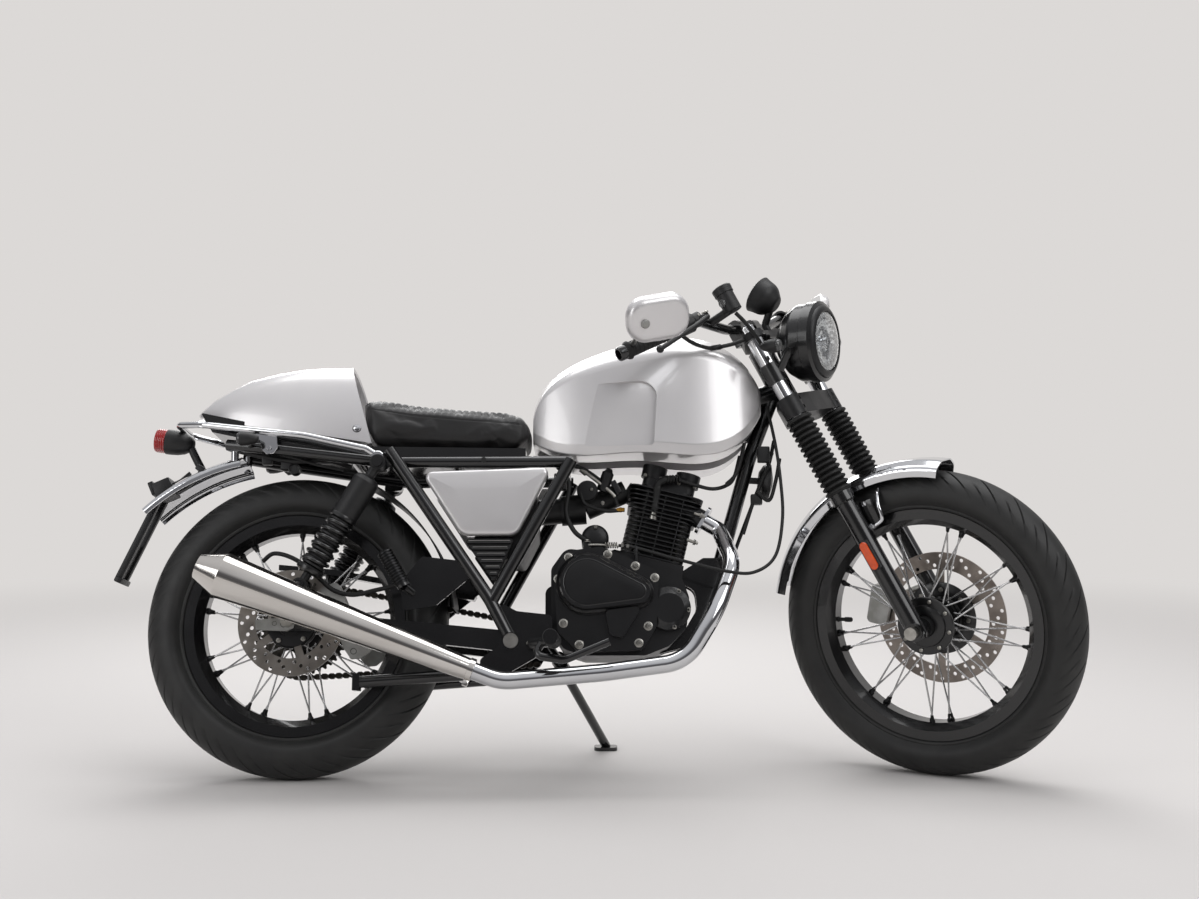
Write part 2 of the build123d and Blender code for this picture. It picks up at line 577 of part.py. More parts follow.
def front_axle():
    """Spindle through both fork legs and the hub, with end nuts."""
    end = FORK_SPACING + FORK_LEG_RADIUS + 3.0
    seat = about_y((FORK_OFFSET, 0, 0))
    outline = [
        (0, -end - 14.0), (13.0, -end - 14.0), (13.0, -end - SEAT_GAP), (AXLE_RADIUS, -end - SEAT_GAP),
        (AXLE_RADIUS, end + SEAT_GAP), (13.0, end + SEAT_GAP), (13.0, end + 14.0), (0, end + 14.0),
    ]
    return turned(outline, seat)


def caliper(disc_y, radius, width, depth, length, gap):
    """Brake caliper block bridging a disc's edge, with two piston bosses, centred on the x axis."""
    block = Pos(radius, disc_y, 0) * Box(depth, width, length, align=MIDDLE)
    block = fillet(block.edges().filter_by(Axis.Y), 10.0)
    slot = Pos(radius - 10.0, disc_y, 0) * Box(depth, gap, length + 2.0, align=MIDDLE)
    return block - slot


def front_caliper():
    """Front brake caliper behind the left leg, on its bracket."""
    body = Rot(0, -140.0, 0) * caliper(FRONT_DISC_Y, FRONT_DISC_RADIUS - 8.0, 50.0, 44.0, 84.0, DISC_THICKNESS + 10.0)
    lug = rod((-90.0, FRONT_DISC_Y + 17.0, 84.0), (-8.0, FORK_SPACING - 6.0, 76.0), 8.0)
    leg = Pos(0, FORK_SPACING, -60.0) * Cylinder(FORK_LEG_RADIUS + SEAT_GAP, 240.0, align=BASE)
    disc_space = about_y((0, FRONT_DISC_Y, 0)) * Cylinder(FRONT_DISC_RADIUS + 5.0, DISC_THICKNESS + 10.0, align=MIDDLE)
    return Pos(FORK_OFFSET, 0, 0) * (body + (lug - leg - disc_space))


# Frame and everything fixed to it

@cache
def head_and_backbone():
    """Head tube bored for the stem, and the backbone that runs back inside the tank's tunnel."""
    low = LOWER_YOKE_HIGH + HEAD_TUBE_GAP
    high = UPPER_YOKE_LOW - HEAD_TUBE_GAP
    tube = Pos(0, 0, low) * Cylinder(HEAD_TUBE_RADIUS, high - low, align=BASE)
    bore = Pos(0, 0, low) * Cylinder(STEM_RADIUS + RUNNING_FIT, high - low, align=BASE)
    backbone = rod(tuple(BACKBONE_FRONT), tuple(BACKBONE_REAR), BACKBONE_RADIUS)
    x = TANK_CUSHION_X
    rise = (BACKBONE_FRONT.Z - BACKBONE_REAR.Z) / (BACKBONE_FRONT.X - BACKBONE_REAR.X)
    z = BACKBONE_REAR.Z + rise * (x - BACKBONE_REAR.X)
    reach = TANK_TUNNEL_HALF - SEAT_GAP
    cushions = rod((x, -reach, z), (x, reach, z), 14.0)
    return FORK_SEAT * tube + backbone + cushions - FORK_SEAT * bore


TANK_CUSHION_X = 900.0
BACKBONE_FRONT = FORK_SEAT.from_local_coords(Vector(0, 0, 581.0))
BACKBONE_REAR = Vector(548.0, 0, 672.0)
DOWN_TUBE_TOP = FORK_SEAT.from_local_coords(Vector(0, 0, 600.0))
DOWN_TUBE_KNEE = Vector(948.0, 0, 664.0)
DOWN_TUBE_FOOT = Vector(866.0, 0, 386.0)


@cache
def down_tube():
    """Single down tube with a gusset at the top and curved plates at its foot that hold the engine."""
    tube = bent_tube([tuple(DOWN_TUBE_TOP), tuple(DOWN_TUBE_KNEE), tuple(DOWN_TUBE_FOOT)], [220.0], DOWN_TUBE_RADIUS)
    gusset = side_plate([(1012.0, 792.0), (960.0, 790.0), (905.0, 770.0), (955.0, 690.0)], -4.0, 4.0)
    outline = [
        (846.0, 452.0), (896.0, 452.0), (884.0, 380.0), (858.0, 318.0), (822.0, 270.0), (752.0, 252.0),
        (744.0, 278.0), (806.0, 302.0), (832.0, 345.0), (828.0, 384.0), (790.0, 402.0), (796.0, 420.0),
    ]
    radii = [6.0, 8.0, 40.0, 40.0, 30.0, 8.0, 8.0, 30.0, 24.0, 24.0, 8.0, 8.0]
    plate = side_plate(outline, -DOWN_TUBE_RADIUS - 5.0, -DOWN_TUBE_RADIUS + 1.0, radii)
    steering_space = FORK_SEAT * Pos(0, 0, LOWER_YOKE_LOW) * Cylinder(HEAD_TUBE_RADIUS, UPPER_YOKE_HIGH - LOWER_YOKE_LOW, align=BASE)
    return tube + gusset + both_sides(plate) - head_and_backbone() - crankcase() - steering_space


REAR_STAY_POINTS = [(196.0, -SIDE_TUBE_Y, 662.0), (405.0, -SIDE_TUBE_Y, 358.0), (453.0, -SIDE_TUBE_Y, 268.0)]
FRONT_STAY_POINTS = [(572.0, -SIDE_TUBE_Y, RAIL_Z), (412.0, -SIDE_TUBE_Y, 350.0)]


@cache
def frame_stays():
    """Side stays in a V from the rails down to the swingarm pivot plates, with the stands' lugs."""
    stay = bent_tube(REAR_STAY_POINTS, [200.0], SIDE_TUBE_RADIUS) + rod(*FRONT_STAY_POINTS, SIDE_TUBE_RADIUS)
    plate_outline = [
        (425.0, 350.0), (462.0, 330.0), (534.0, 322.0), (534.0, 290.0), (500.0, 236.0), (440.0, 202.0), (388.0, 204.0), (390.0, 234.0),
        (428.0, 262.0),
    ]
    plate = side_plate(plate_outline, -PLATE_INNER_Y - PLATE_THICKNESS, -PLATE_INNER_Y, 10.0)
    pivot = about_y((SWING_PIVOT[0], 0, SWING_PIVOT[1])) * Cylinder(SWING_PIVOT_RADIUS + RUNNING_FIT, 400.0, align=MIDDLE)
    pin = about_y((CENTRE_STAND_PIVOT[0], 0, CENTRE_STAND_PIVOT[1])) * Cylinder(STAND_PIN_RADIUS + RUNNING_FIT, 400.0, align=MIDDLE)
    nut_space = about_y((SWING_PIVOT[0], 0, SWING_PIVOT[1])) * (
        Cylinder(16.0, 400.0, align=MIDDLE) - Cylinder(16.0, 2 * (PLATE_INNER_Y + PLATE_THICKNESS), align=MIDDLE))
    return both_sides(stay + plate) - pivot - pin - nut_space


CROSS_TUBES = (
    # x, z, radius
    (556.0, RAIL_Z, 12.0),
    (330.0, RAIL_Z, 10.0),
    (120.0, RAIL_Z + 9.0, 10.0),
)


@cache
def subframe():
    """Seat rails with their cross tubes, the pan over them and the shock absorbers' upper studs."""
    points = [
        (572.0, -RAIL_Y, RAIL_Z), (190.0, -RAIL_Y, RAIL_Z), (-60.0, -RAIL_Y + 22.0, RAIL_Z + 34.0), (-150.0, -RAIL_Y + 40.0, RAIL_Z + 46.0),
    ]
    frame = both_sides(bent_tube(points, [260.0, 160.0], SIDE_TUBE_RADIUS - 1.0))
    for x, z, radius in CROSS_TUBES:
        frame += rod((x, -RAIL_Y, z), (x, RAIL_Y, z), radius)
    pan_outline = [
        (476.0, 673.7), (476.0, RAIL_Z + 4.0), (190.0, RAIL_Z + 4.0), (0.0, 672.0), (-180.0, 710.0), (-206.0, 752.0), (-100.0, 730.0),
        (60.0, 716.0), (90.0, 690.0), (97.0, 679.7),
    ]
    frame += side_plate(pan_outline, -86.0, 86.0, 2.0) - tail_cowl()
    frame += both_sides(Pos(556.0, 62.0, 640.0) * Box(20.0, 20.0, 60.0, align=BASE)) - fuel_tank()
    x, z = SHOCK_TOP
    lug = side_plate([(156.0, 618.0), (196.0, 622.0), (196.0, 656.0), (160.0, 656.0)], -RAIL_Y - 13.0, -RAIL_Y + 6.0, 6.0)
    return (frame + both_sides(lug + shock_stud(x, z))) - frame_stays() - head_and_backbone()


def shock_stud(x, z):
    """Stud with a domed nut through a shock absorber's eye."""
    nut = rod((x, -SHOCK_Y - 22.0, z), (x, -SHOCK_Y - 12.0 - SEAT_GAP, z), 11.0)
    return nut + rod((x, -SHOCK_Y - 14.0, z), (x, -SHOCK_Y + 32.0, z), 6.0)


@cache
def swingarm_pivot():
    """Spindle through the pivot plates and the swingarm, with end nuts."""
    end = PLATE_INNER_Y + PLATE_THICKNESS
    outline = [
        (0, -end - 12.0), (15.0, -end - 12.0), (15.0, -end - SEAT_GAP), (SWING_PIVOT_RADIUS, -end - SEAT_GAP),
        (SWING_PIVOT_RADIUS, end + SEAT_GAP), (15.0, end + SEAT_GAP), (15.0, end + 12.0), (0, end + 12.0),
    ]
    return turned(outline, about_y((SWING_PIVOT[0], 0, SWING_PIVOT[1])))


@cache
def swingarm():
    """Swingarm of two box arms on a pivot tube, with a cross brace and axle ends."""
    px, pz = SWING_PIVOT
    half = SWING_ARM_WIDTH / 2
    arm_outline = [
        (px - 8.0, pz + 22.0), (60.0, REAR_AXLE_HEIGHT + 18.0), (-34.0, REAR_AXLE_HEIGHT + 16.0),
        (-34.0, REAR_AXLE_HEIGHT - 18.0), (60.0, REAR_AXLE_HEIGHT - 20.0), (px - 8.0, pz - 20.0),
    ]
    arm = side_plate(arm_outline, -SWING_ARM_Y - half, -SWING_ARM_Y + half, [8.0, 30.0, 10.0, 10.0, 30.0, 8.0])
    tube = about_y((px, 0, pz)) * Cylinder(20.0, 2 * (SWING_ARM_Y + half - 1.0), align=MIDDLE)
    brace = rod((385.0, -SWING_ARM_Y, 284.0), (385.0, SWING_ARM_Y, 284.0), 14.0)
    lug = side_plate([(6.0, 320.0), (52.0, 320.0), (44.0, 392.0), (14.0, 396.0)], -SHOCK_Y + 13.0, -SHOCK_Y + 33.0, 8.0)
    guard_outline = [(-60.0, 440.0), (60.0, 428.0), (360.0, 374.0), (366.0, 384.0), (60.0, 441.0), (-60.0, 452.0)]
    guard = side_plate(guard_outline, 62.0, 94.0, 2.0)
    guard += rod((300.0, 92.0, 384.0), (300.0, 92.0, 300.0), 5.0) + rod((40.0, 92.0, 432.0), (60.0, 92.0, 325.0), 5.0)
    bore = about_y((px, 0, pz)) * Cylinder(SWING_PIVOT_RADIUS + RUNNING_FIT, 400.0, align=MIDDLE)
    axle_bore = about_y((0, 0, REAR_AXLE_HEIGHT)) * Cylinder(AXLE_RADIUS + RUNNING_FIT, 400.0, align=MIDDLE)
    return both_sides(arm + lug + shock_stud(*SHOCK_FOOT)) + tube + brace + guard - bore - axle_bore


def rear_axle():
    """Rear spindle with end nuts."""
    end = SWING_ARM_Y + SWING_ARM_WIDTH / 2
    outline = [
        (0, -end - 14.0), (13.0, -end - 14.0), (13.0, -end - SEAT_GAP), (AXLE_RADIUS, -end - SEAT_GAP),
        (AXLE_RADIUS, end + SEAT_GAP), (13.0, end + SEAT_GAP), (13.0, end + 14.0), (0, end + 14.0),
    ]
    return turned(outline, about_y((0, 0, REAR_AXLE_HEIGHT)))


SHOCK_Y = 136.0
SHOCK_TOP = (176.0, 633.0)
SHOCK_FOOT = (26.0, 380.0)


@cache
def rear_shocks():
    """Rear shock absorbers: covered top, coil spring as stacked rings, and an eye at each end."""
    top = Vector(SHOCK_TOP[0], -SHOCK_Y, SHOCK_TOP[1])
    foot = Vector(SHOCK_FOOT[0], -SHOCK_Y, SHOCK_FOOT[1])
    length = (top - foot).length
    seat = Plane(origin=foot, x_dir=(0, 1, 0), z_dir=top - foot)
    coil_low, coil_high, coils = 44.0, 158.0, 10
    step = (coil_high - coil_low) / coils
    outline = [(0, 0), (9.0, 0), (9.0, 30.0), (23.0, 32.0), (27.0, 38.0), (27.0, coil_low)]
    for turn in range(coils):
        base = coil_low + turn * step
        outline += [(21.0, base + step * 0.12), (25.5, base + step * 0.34), (25.5, base + step * 0.68), (21.0, base + step * 0.92)]
    outline += [(27.0, coil_high), (28.0, coil_high + 90.0), (24.0, coil_high + 98.0), (10.0, coil_high + 104.0), (10.0, length), (0, length)]
    body = turned(outline, seat)
    eyes = about_y(top) * Cylinder(16.0, 24.0, align=MIDDLE) + about_y(foot) * Cylinder(16.0, 24.0, align=MIDDLE)
    bores = about_y(top) * Cylinder(6.0 + RUNNING_FIT, 90.0, align=MIDDLE) + about_y(foot) * Cylinder(6.0 + RUNNING_FIT, 90.0, align=MIDDLE)
    return both_sides(body + eyes - bores)




# Tank, seat, tail and side panels

TANK_STATIONS = (
    # x, floor z, top z, half width, shoulder radius
    (490.0, 690.0, 765.0, 66.0, 30.0),
    (545.0, 662.0, 848.0, 96.0, 46.0),
    (640.0, TANK_FLOOR, 893.0, 118.0, 60.0),
    (760.0, TANK_FLOOR, 922.0, TANK_HALF_WIDTH, 68.0),
    (870.0, TANK_FLOOR, 912.0, 124.0, 66.0),
    (940.0, 700.0, 866.0, 98.0, 48.0),
    (972.0, 752.0, 818.0, 56.0, 26.0),
)


def tank_section(x, floor, top, half, shoulder):
    """Upright section of the tank: flat floor, straight sides leaning in, round shoulders and a crowned top."""
    lean_in = half * 0.06
    corners = [(x, -half + 6.0, floor), (x, half - 6.0, floor), (x, half, floor + 22.0), (x, half - lean_in, top - shoulder * 0.62), (x, half * 0.42, top), (x, -half * 0.42, top), (x, -half + lean_in, top - shoulder * 0.62), (x, -half, floor + 22.0)]
    return make_face(FilletPolyline(*corners, radius=[4.0, 4.0, 9.0, shoulder * 0.62, shoulder * 0.5, shoulder * 0.5, shoulder * 0.62, 9.0], close=True))


FUEL_CAP_RADIUS = 34.0
FUEL_CAP_SEAT = Plane(origin=(800.0, 0, 914.0), x_dir=(1, 0, 0), z_dir=(0.02, 0, 1))


@cache
def fuel_tank():
    """Long tank with rounded nose, knee recesses and a tunnel for the backbone."""
    body = loft([tank_section(*station) for station in TANK_STATIONS])
    knee_outline = [(470.0, 672.0), (742.0, 672.0), (752.0, 812.0), (640.0, 806.0), (470.0, 790.0)]
    knee = side_plate(knee_outline, -TANK_HALF_WIDTH - 60.0, -TANK_HALF_WIDTH + KNEE_DEPTH, [0, 8.0, 36.0, 60.0, 0])
    body -= knee
    body -= mirror(knee, Plane.XZ)
    tunnel_top = BACKBONE_RADIUS + 8.0
    tunnel = side_plate(
        [(480.0, 600.0), (1060.0, 600.0), (BACKBONE_FRONT.X, BACKBONE_FRONT.Z + tunnel_top), (BACKBONE_REAR.X, BACKBONE_REAR.Z + tunnel_top), (480.0, BACKBONE_REAR.Z + tunnel_top - 20)],
        -TANK_TUNNEL_HALF, TANK_TUNNEL_HALF)
    cap_space = FUEL_CAP_SEAT * Pos(0, 0, -8.0 - SEAT_GAP) * Cylinder(FUEL_CAP_RADIUS + SEAT_GAP, 60.0, align=BASE)
    return body - tunnel - cap_space


def fuel_cap():
    """Round filler cap on its ring, set in the tank's top."""
    rim_radius = FUEL_CAP_RADIUS
    return turned([(0, -8.0), (rim_radius, -8.0), (rim_radius, 12.0), (rim_radius - 4.0, 16.0), (0, 17.0)], FUEL_CAP_SEAT, [0, 0, 3.0, 3.0, 0])


def seat():
    """Seat cushion between tank and tail."""
    outline = [(98.0, 698.0), (98.0, 680.0), (476.0, 674.0), (488.0, 694.0), (484.0, 742.0), (440.0, 748.0), (250.0, 764.0), (112.0, 786.0)]
    block = side_plate(outline, -SEAT_HALF_WIDTH, SEAT_HALF_WIDTH, [0, 6.0, 12.0, 12.0, 16.0, 60.0, 120.0, 6.0])
    return fillet(block.edges().filter_by(GeomType.LINE).filter_by(lambda e: abs(e.center().Y) > SEAT_HALF_WIDTH - 1 and e.center().Z > 735), 10.0)


@cache
def tail_cowl():
    """Humped seat cowl, a loft that narrows to the rear."""
    stations = (
        # x, floor z, top z, half width
        (97.0, 700.0, 862.0, TAIL_HALF_WIDTH),
        (0.0, 712.0, 861.0, 100.0),
        (-110.0, 727.0, 838.0, 86.0),
        (-190.0, 742.0, 796.0, 62.0),
        (-222.0, 752.0, 772.0, 34.0),
    )
    sections = []
    for x, floor, top, half in stations:
        height = top - floor
        corners = [(x, -half, floor), (x, half, floor), (x, half * 0.94, floor + height * 0.55), (x, half * 0.5, top), (x, -half * 0.5, top), (x, -half * 0.94, floor + height * 0.55)]
        bend = min(half, height) * 0.3
        sections.append(make_face(FilletPolyline(*corners, radius=[2.0, 2.0, bend, bend, bend, bend], close=True)))
    return loft(sections)


def grab_rail():
    """Chromed rail round the tail, from one shock top to the other."""
    points = [(176.0, -128.0, 648.0), (150.0, -130.0, 664.0), (20.0, -124.0, 694.0), (-200.0, -96.0, 724.0), (-262.0, -50.0, 734.0), (-262.0, 50.0, 734.0), (-200.0, 96.0, 724.0), (20.0, 124.0, 694.0), (150.0, 130.0, 664.0), (176.0, 128.0, 648.0)]
    return bent_tube(points, [14.0, 200.0, 60.0, 30.0, 30.0, 60.0, 200.0, 14.0], 7.0) - subframe() - rear_shocks()


def side_panels():
    """Side panels between the frame's stays, with a small louvred grille under each."""
    outline = [(258.0, 618.0), (536.0, 628.0), (532.0, 610.0), (462.0, 478.0), (344.0, 478.0)]
    panel = side_plate(outline, -134.0, -100.0, [8.0, 8.0, 12.0, 14.0, 20.0])
    outer = panel.faces().sort_by(Axis.Y)[0]
    panel = fillet(outer.edges(), 6.0)
    grille = side_plate([(350.0, 486.0), (458.0, 486.0), (414.0, 384.0)], -126.0, -110.0, 6.0)
    for index in range(5):
        grille -= Pos(400.0, -126.0, 404.0 + index * 13.0) * Box(200.0, 8.0, 6.0, align=MIDDLE)
    return both_sides(panel + grille) - frame_stays() - subframe()


@cache
def rear_fender():
    """Chromed guard over the rear tyre, under the tail."""
    top = REAR_FENDER_RADIUS
    side = 70.0
    outside = [(-side, top - 26.0), (-side, top - 12.0), (-side * 0.55, top), (side * 0.55, top), (side, top - 12.0), (side, top - 26.0)]
    inside = [(y * (side - FENDER_THICKNESS) / side, r - FENDER_THICKNESS) for y, r in reversed(outside)]
    inside[0] = (inside[0][0], top - 26.0)
    inside[-1] = (inside[-1][0], top - 26.0)
    corners = [(0, y, r) for y, r in outside + inside]
    rounds = [0, 10.0, 26.0, 26.0, 10.0, 0, 0, 7.0, 23.0, 23.0, 7.0, 0]
    face = make_face(FilletPolyline(*corners, radius=rounds, close=True))
    swept = revolve(Rot(0, -12.0, 0) * face, Axis.Y, -32.0)
    centre_z = REAR_FENDER_CROWN - REAR_FENDER_RADIUS
    shell = Pos(REAR_FENDER_X, 0, centre_z) * swept
    x = REAR_FENDER_POST_X
    foot_z = centre_z + (REAR_FENDER_RADIUS ** 2 - (x - REAR_FENDER_X) ** 2) ** 0.5 - 13.0
    post = rod((x, -58.0, foot_z), (x, -64.0, foot_z + 36.0), 8.0)
    return shell + (both_sides(post) - subframe())


REAR_FENDER_RADIUS = 418.0
HUGGER_HALF_WIDTH = 62.0
HUGGER_GAP = 16.0
HUGGER_TOP_X = 150.0
REAR_FENDER_CROWN = 676.0
REAR_FENDER_X = -40.0
REAR_FENDER_POST_X = -136.0


def rear_hugger():
    """Black inner guard between the rear tyre and the engine."""
    inner = REAR_TYRE_RADIUS + HUGGER_GAP
    outer = inner + FENDER_THICKNESS
    ring = about_y((0, 0, REAR_AXLE_HEIGHT)) * (Cylinder(outer, 2 * HUGGER_HALF_WIDTH, align=MIDDLE) - Cylinder(inner, 2 * HUGGER_HALF_WIDTH, align=MIDDLE))
    sector = side_plate([(0, REAR_AXLE_HEIGHT), (600.0, 372.0), (600.0, 1000.0), (HUGGER_TOP_X * 2, 1000.0)], -100.0, 100.0)
    return (ring & sector) - subframe() - swingarm()


def tail_lamp():
    """Round tail lamp on the rear fender's end, with its lens."""
    seat_plane = Plane(origin=(-262.0, 0, 700.0), x_dir=(0, 1, 0), z_dir=(-1, 0, -0.12))
    body = turned([(0, 0), (18.0, 0), (34.0, 24.0), (34.0, 48.0), (0, 48.0)], seat_plane, [0, 0, 14.0, 0, 0])
    lens = turned([(0, 48.3), (33.0, 48.3), (33.0, 60.0), (24.0, 64.0), (0, 66.0)], seat_plane, [0, 0, 4.0, 8.0, 0])
    neck = rod((-266.0, 0, 700.0), (-192.0, 0, 722.0), 14.0)
    return Compound([body + (neck - subframe()), lens])


def rear_indicators():
    """Small round indicators on stems beside the tail."""
    body_at = Plane(origin=(-222.0, -150.0, 672.0), x_dir=(0, 1, 0), z_dir=(-1, 0, 0))
    body = turned([(0, -34.0), (12.0, -34.0), (25.0, -8.0), (25.0, 6.0), (14.0, 14.0), (0, 16.0)], body_at, [0, 8.0, 8.0, 4.0, 6.0, 0])
    stem = rod((-216.0, -150.0, 672.0), (-146.0, -70.0, 686.0), 6.5)
    return both_sides(body + stem)


PLATE_SEAT = Plane(origin=(-326.0, 0, 504.2), x_dir=(0, 1, 0), z_dir=(-200.0, 0, 88.0))
PLATE_SCREW_SPACING = 80.0
PLATE_SCREW_RADIUS = 3.25


def plate_bracket():
    """Number plate bracket hung below the tail lamp, with the rear indicators."""
    arm = side_plate([(-250.0, 640.0), (-226.0, 626.0), (-270.0, 590.0), (-300.0, 596.0)], -20.0, 20.0, 4.0)
    plate = side_plate([(-286.0, 606.0), (-278.0, 602.4), (-366.0, 402.4), (-374.0, 406.0)], -58.0, 58.0, 1.0)
    holes = PLATE_SEAT * PolarLocations(PLATE_SCREW_SPACING / 2, 2) * Cylinder(PLATE_SCREW_RADIUS, 60.0, align=MIDDLE)
    return arm + (plate - holes) + rear_indicators() - rear_fender() - subframe()


# Engine

CYLINDER_SEAT = Plane(
    origin=(CYLINDER_BASE[0], 0, CYLINDER_BASE[1]),
    x_dir=(cos(radians(CYLINDER_TILT)), 0, -sin(radians(CYLINDER_TILT))),
    z_dir=(sin(radians(CYLINDER_TILT)), 0, cos(radians(CYLINDER_TILT))),
)


@cache
def crankcase():
    """Crankcase and gearbox casting, flat where the cylinder stands."""
    outline = [
        (530.0, 300.0), (556.0, 256.0), (600.0, 243.0), (722.0, 243.0), (770.0, 262.0), (806.0, 300.0),
        (812.0, 360.0), (798.0, 400.0), (802.0, 428.0), (666.0, 462.0), (640.0, 452.0), (560.0, 462.0), (530.0, 420.0),
    ]
    case = side_plate(outline, -ENGINE_HALF_WIDTH, ENGINE_HALF_WIDTH, [20.0, 20.0, 20.0, 20.0, 20.0, 20.0, 24.0, 8.0, 4.0, 4.0, 10.0, 24.0, 20.0])
    above = CYLINDER_SEAT * Box(400.0, 400.0, 300.0, align=BASE)
    lug_end = PLATE_INNER_Y - SEAT_GAP
    return case - above + rod((520.0, -lug_end, 304.0), (520.0, lug_end, 304.0), 13.0)


def right_engine_cover():
    """Clutch cover: a bolted base plate with a raised pear-shaped dome and a round crank cover."""
    base_outline = [
        (536.0, 400.0), (556.0, 452.0), (632.0, 462.0), (750.0, 412.0), (744.0, 300.0), (716.0, 252.0), (586.0, 248.0), (544.0, 290.0),
    ]
    base = side_plate(base_outline, -ENGINE_HALF_WIDTH - 24.0, -ENGINE_HALF_WIDTH, [24.0, 26.0, 20.0, 20.0, 20.0, 14.0, 14.0, 20.0])
    seat_plane = Plane(origin=(0, -ENGINE_HALF_WIDTH - 24.0, 0), x_dir=(1, 0, 0), z_dir=(0, -1, 0))
    pear = make_hull((Pos(604.0, 386.0) * Circle(62.0) + Pos(708.0, 366.0) * Circle(31.0)).edges())
    dome = seat_plane * extrude(pear, amount=26.0, taper=18.0)
    boss = side_plate([(640.0, 330.0), (716.0, 340.0), (676.0, 276.0), (650.0, 280.0)], -ENGINE_HALF_WIDTH - 40.0, -ENGINE_HALF_WIDTH - 20.0, 8.0)
    round_cover = turned([(0, 0), (44.0, 0), (44.0, 14.0), (30.0, 22.0), (0, 22.0)], Plane(origin=(770.0, -ENGINE_HALF_WIDTH, 337.0), x_dir=(1, 0, 0), z_dir=(0, -1, 0)))
    return base + dome + boss + (round_cover - base)


def left_engine_cover():
    """Alternator cover and drive sprocket cover."""
    seat_plane = Plane(origin=(0, ENGINE_HALF_WIDTH, 0), x_dir=(1, 0, 0), z_dir=(0, 1, 0))
    alternator = about_y((748.0, ENGINE_HALF_WIDTH, 340.0)) * Cylinder(60.0, 34.0, align=BASE)
    alternator = fillet(alternator.edges().sort_by(Axis.Y)[-1], 8.0)
    outline = [(512.0, 322.0), (512.0, 402.0), (560.0, 424.0), (686.0, 402.0), (680.0, 270.0), (600.0, 250.0), (556.0, 258.0)]
    guard = side_plate(outline, ENGINE_HALF_WIDTH, ENGINE_HALF_WIDTH + 22.0, 18.0)
    return alternator + (guard - alternator)


@cache
def cylinder_barrel():
    """Finned cylinder barrel on its liner spigot."""
    core = round_block(92.0, 92.0, 0.0, BARREL_HEIGHT, 30.0)
    for index in range(int(BARREL_HEIGHT // FIN_PITCH)):
        low = 6.0 + index * FIN_PITCH
        core += round_block(134.0, 124.0, low, low + FIN_THICKNESS, 26.0)
    return CYLINDER_SEAT * core


PORT_END = Vector(84.0, -36.0, BARREL_HEIGHT + 16.0)
PORT_DIRECTION = Vector(44.0, -4.0, -14.0).normalized()


@cache
def cylinder_head():
    """Finned cylinder head with its exhaust and inlet ports."""
    core = round_block(104.0, 96.0, BARREL_HEIGHT, BARREL_HEIGHT + HEAD_HEIGHT, 20.0)
    for index in range(int(HEAD_HEIGHT // FIN_PITCH)):
        low = BARREL_HEIGHT + 4.0 + index * FIN_PITCH
        grow = index * 2.0
        core += round_block(146.0 + grow, 128.0, low, low + FIN_THICKNESS, 24.0)
    exhaust = rod(tuple(PORT_END - PORT_DIRECTION * 46.0), tuple(PORT_END), 21.0)
    inlet = rod((-40.0, 0.0, BARREL_HEIGHT + 30.0), (-86.0, 0.0, BARREL_HEIGHT + 44.0), 22.0)
    return CYLINDER_SEAT * (core + exhaust + inlet + rocker_cover()) - cylinder_barrel()


def rocker_cover():
    """Cam cover with a raised cap over each valve."""
    low = BARREL_HEIGHT + HEAD_HEIGHT
    base = round_block(112.0, 88.0, low, low + ROCKER_HEIGHT * 0.55, 18.0)
    caps = Pos(-36.0, -20.0, low + ROCKER_HEIGHT * 0.4) * Cylinder(26.0, ROCKER_HEIGHT * 0.6, align=BASE)
    caps += Pos(36.0, -20.0, low + ROCKER_HEIGHT * 0.4) * Cylinder(26.0, ROCKER_HEIGHT * 0.6, align=BASE)
    return base + caps


def intake():
    """Throttle body and rubber stubs between the head and the air box."""
    start = CYLINDER_SEAT * Pos(-86.3, 0, BARREL_HEIGHT + 44.0)
    port = start.position
    throat = rod(tuple(port), (600.0, 0, 560.0), 24.0)
    body = rod((600.0, 0, 560.0), (548.0, 0, 556.0), 32.0)
    boot = rod((548.0, 0, 556.0), (500.0, 0, 552.0), 27.0)
    return throat + body + (boot + air_box() - body) - cylinder_head() - crankcase()


def air_box():
    """Air box behind the side panels."""
    outline = [(500.0, 500.0), (500.0, 606.0), (300.0, 606.0), (368.0, 490.0), (400.0, 440.0), (470.0, 440.0)]
    return side_plate(outline, -88.0, 88.0, 12.0)


def exhaust_header():
    """Header pipe from the exhaust port round under the engine to the silencer."""
    start, ahead = [(CYLINDER_SEAT * Pos(*(PORT_END + PORT_DIRECTION * run))).position for run in (SEAT_GAP, 42.0)]
    last_bend = Vector(*SILENCER_FRONT) - SILENCER_DIRECTION * 60.0
    points = [start, ahead, (902.0, -104.0, 430.0), (862.0, -150.0, 326.0), (800.0, -152.0, 226.0), (640.0, -152.0, 205.0), last_bend, SILENCER_FRONT]
    pipe = bent_tube([tuple(point) for point in points], [26.0, 90.0, 200.0, 90.0, 300.0, 100.0], HEADER_RADIUS)
    flange = Plane(origin=start, z_dir=Vector(*points[1]) - start) * extrude(RectangleRounded(62.0, 40.0, 12.0), amount=7.0)
    return pipe + flange


SILENCER_FRONT = (378.0, -168.0, 208.0)
SILENCER_REAR = (-116.0, -204.0, 393.0)
SILENCER_DIRECTION = (Vector(*SILENCER_REAR) - Vector(*SILENCER_FRONT)).normalized()


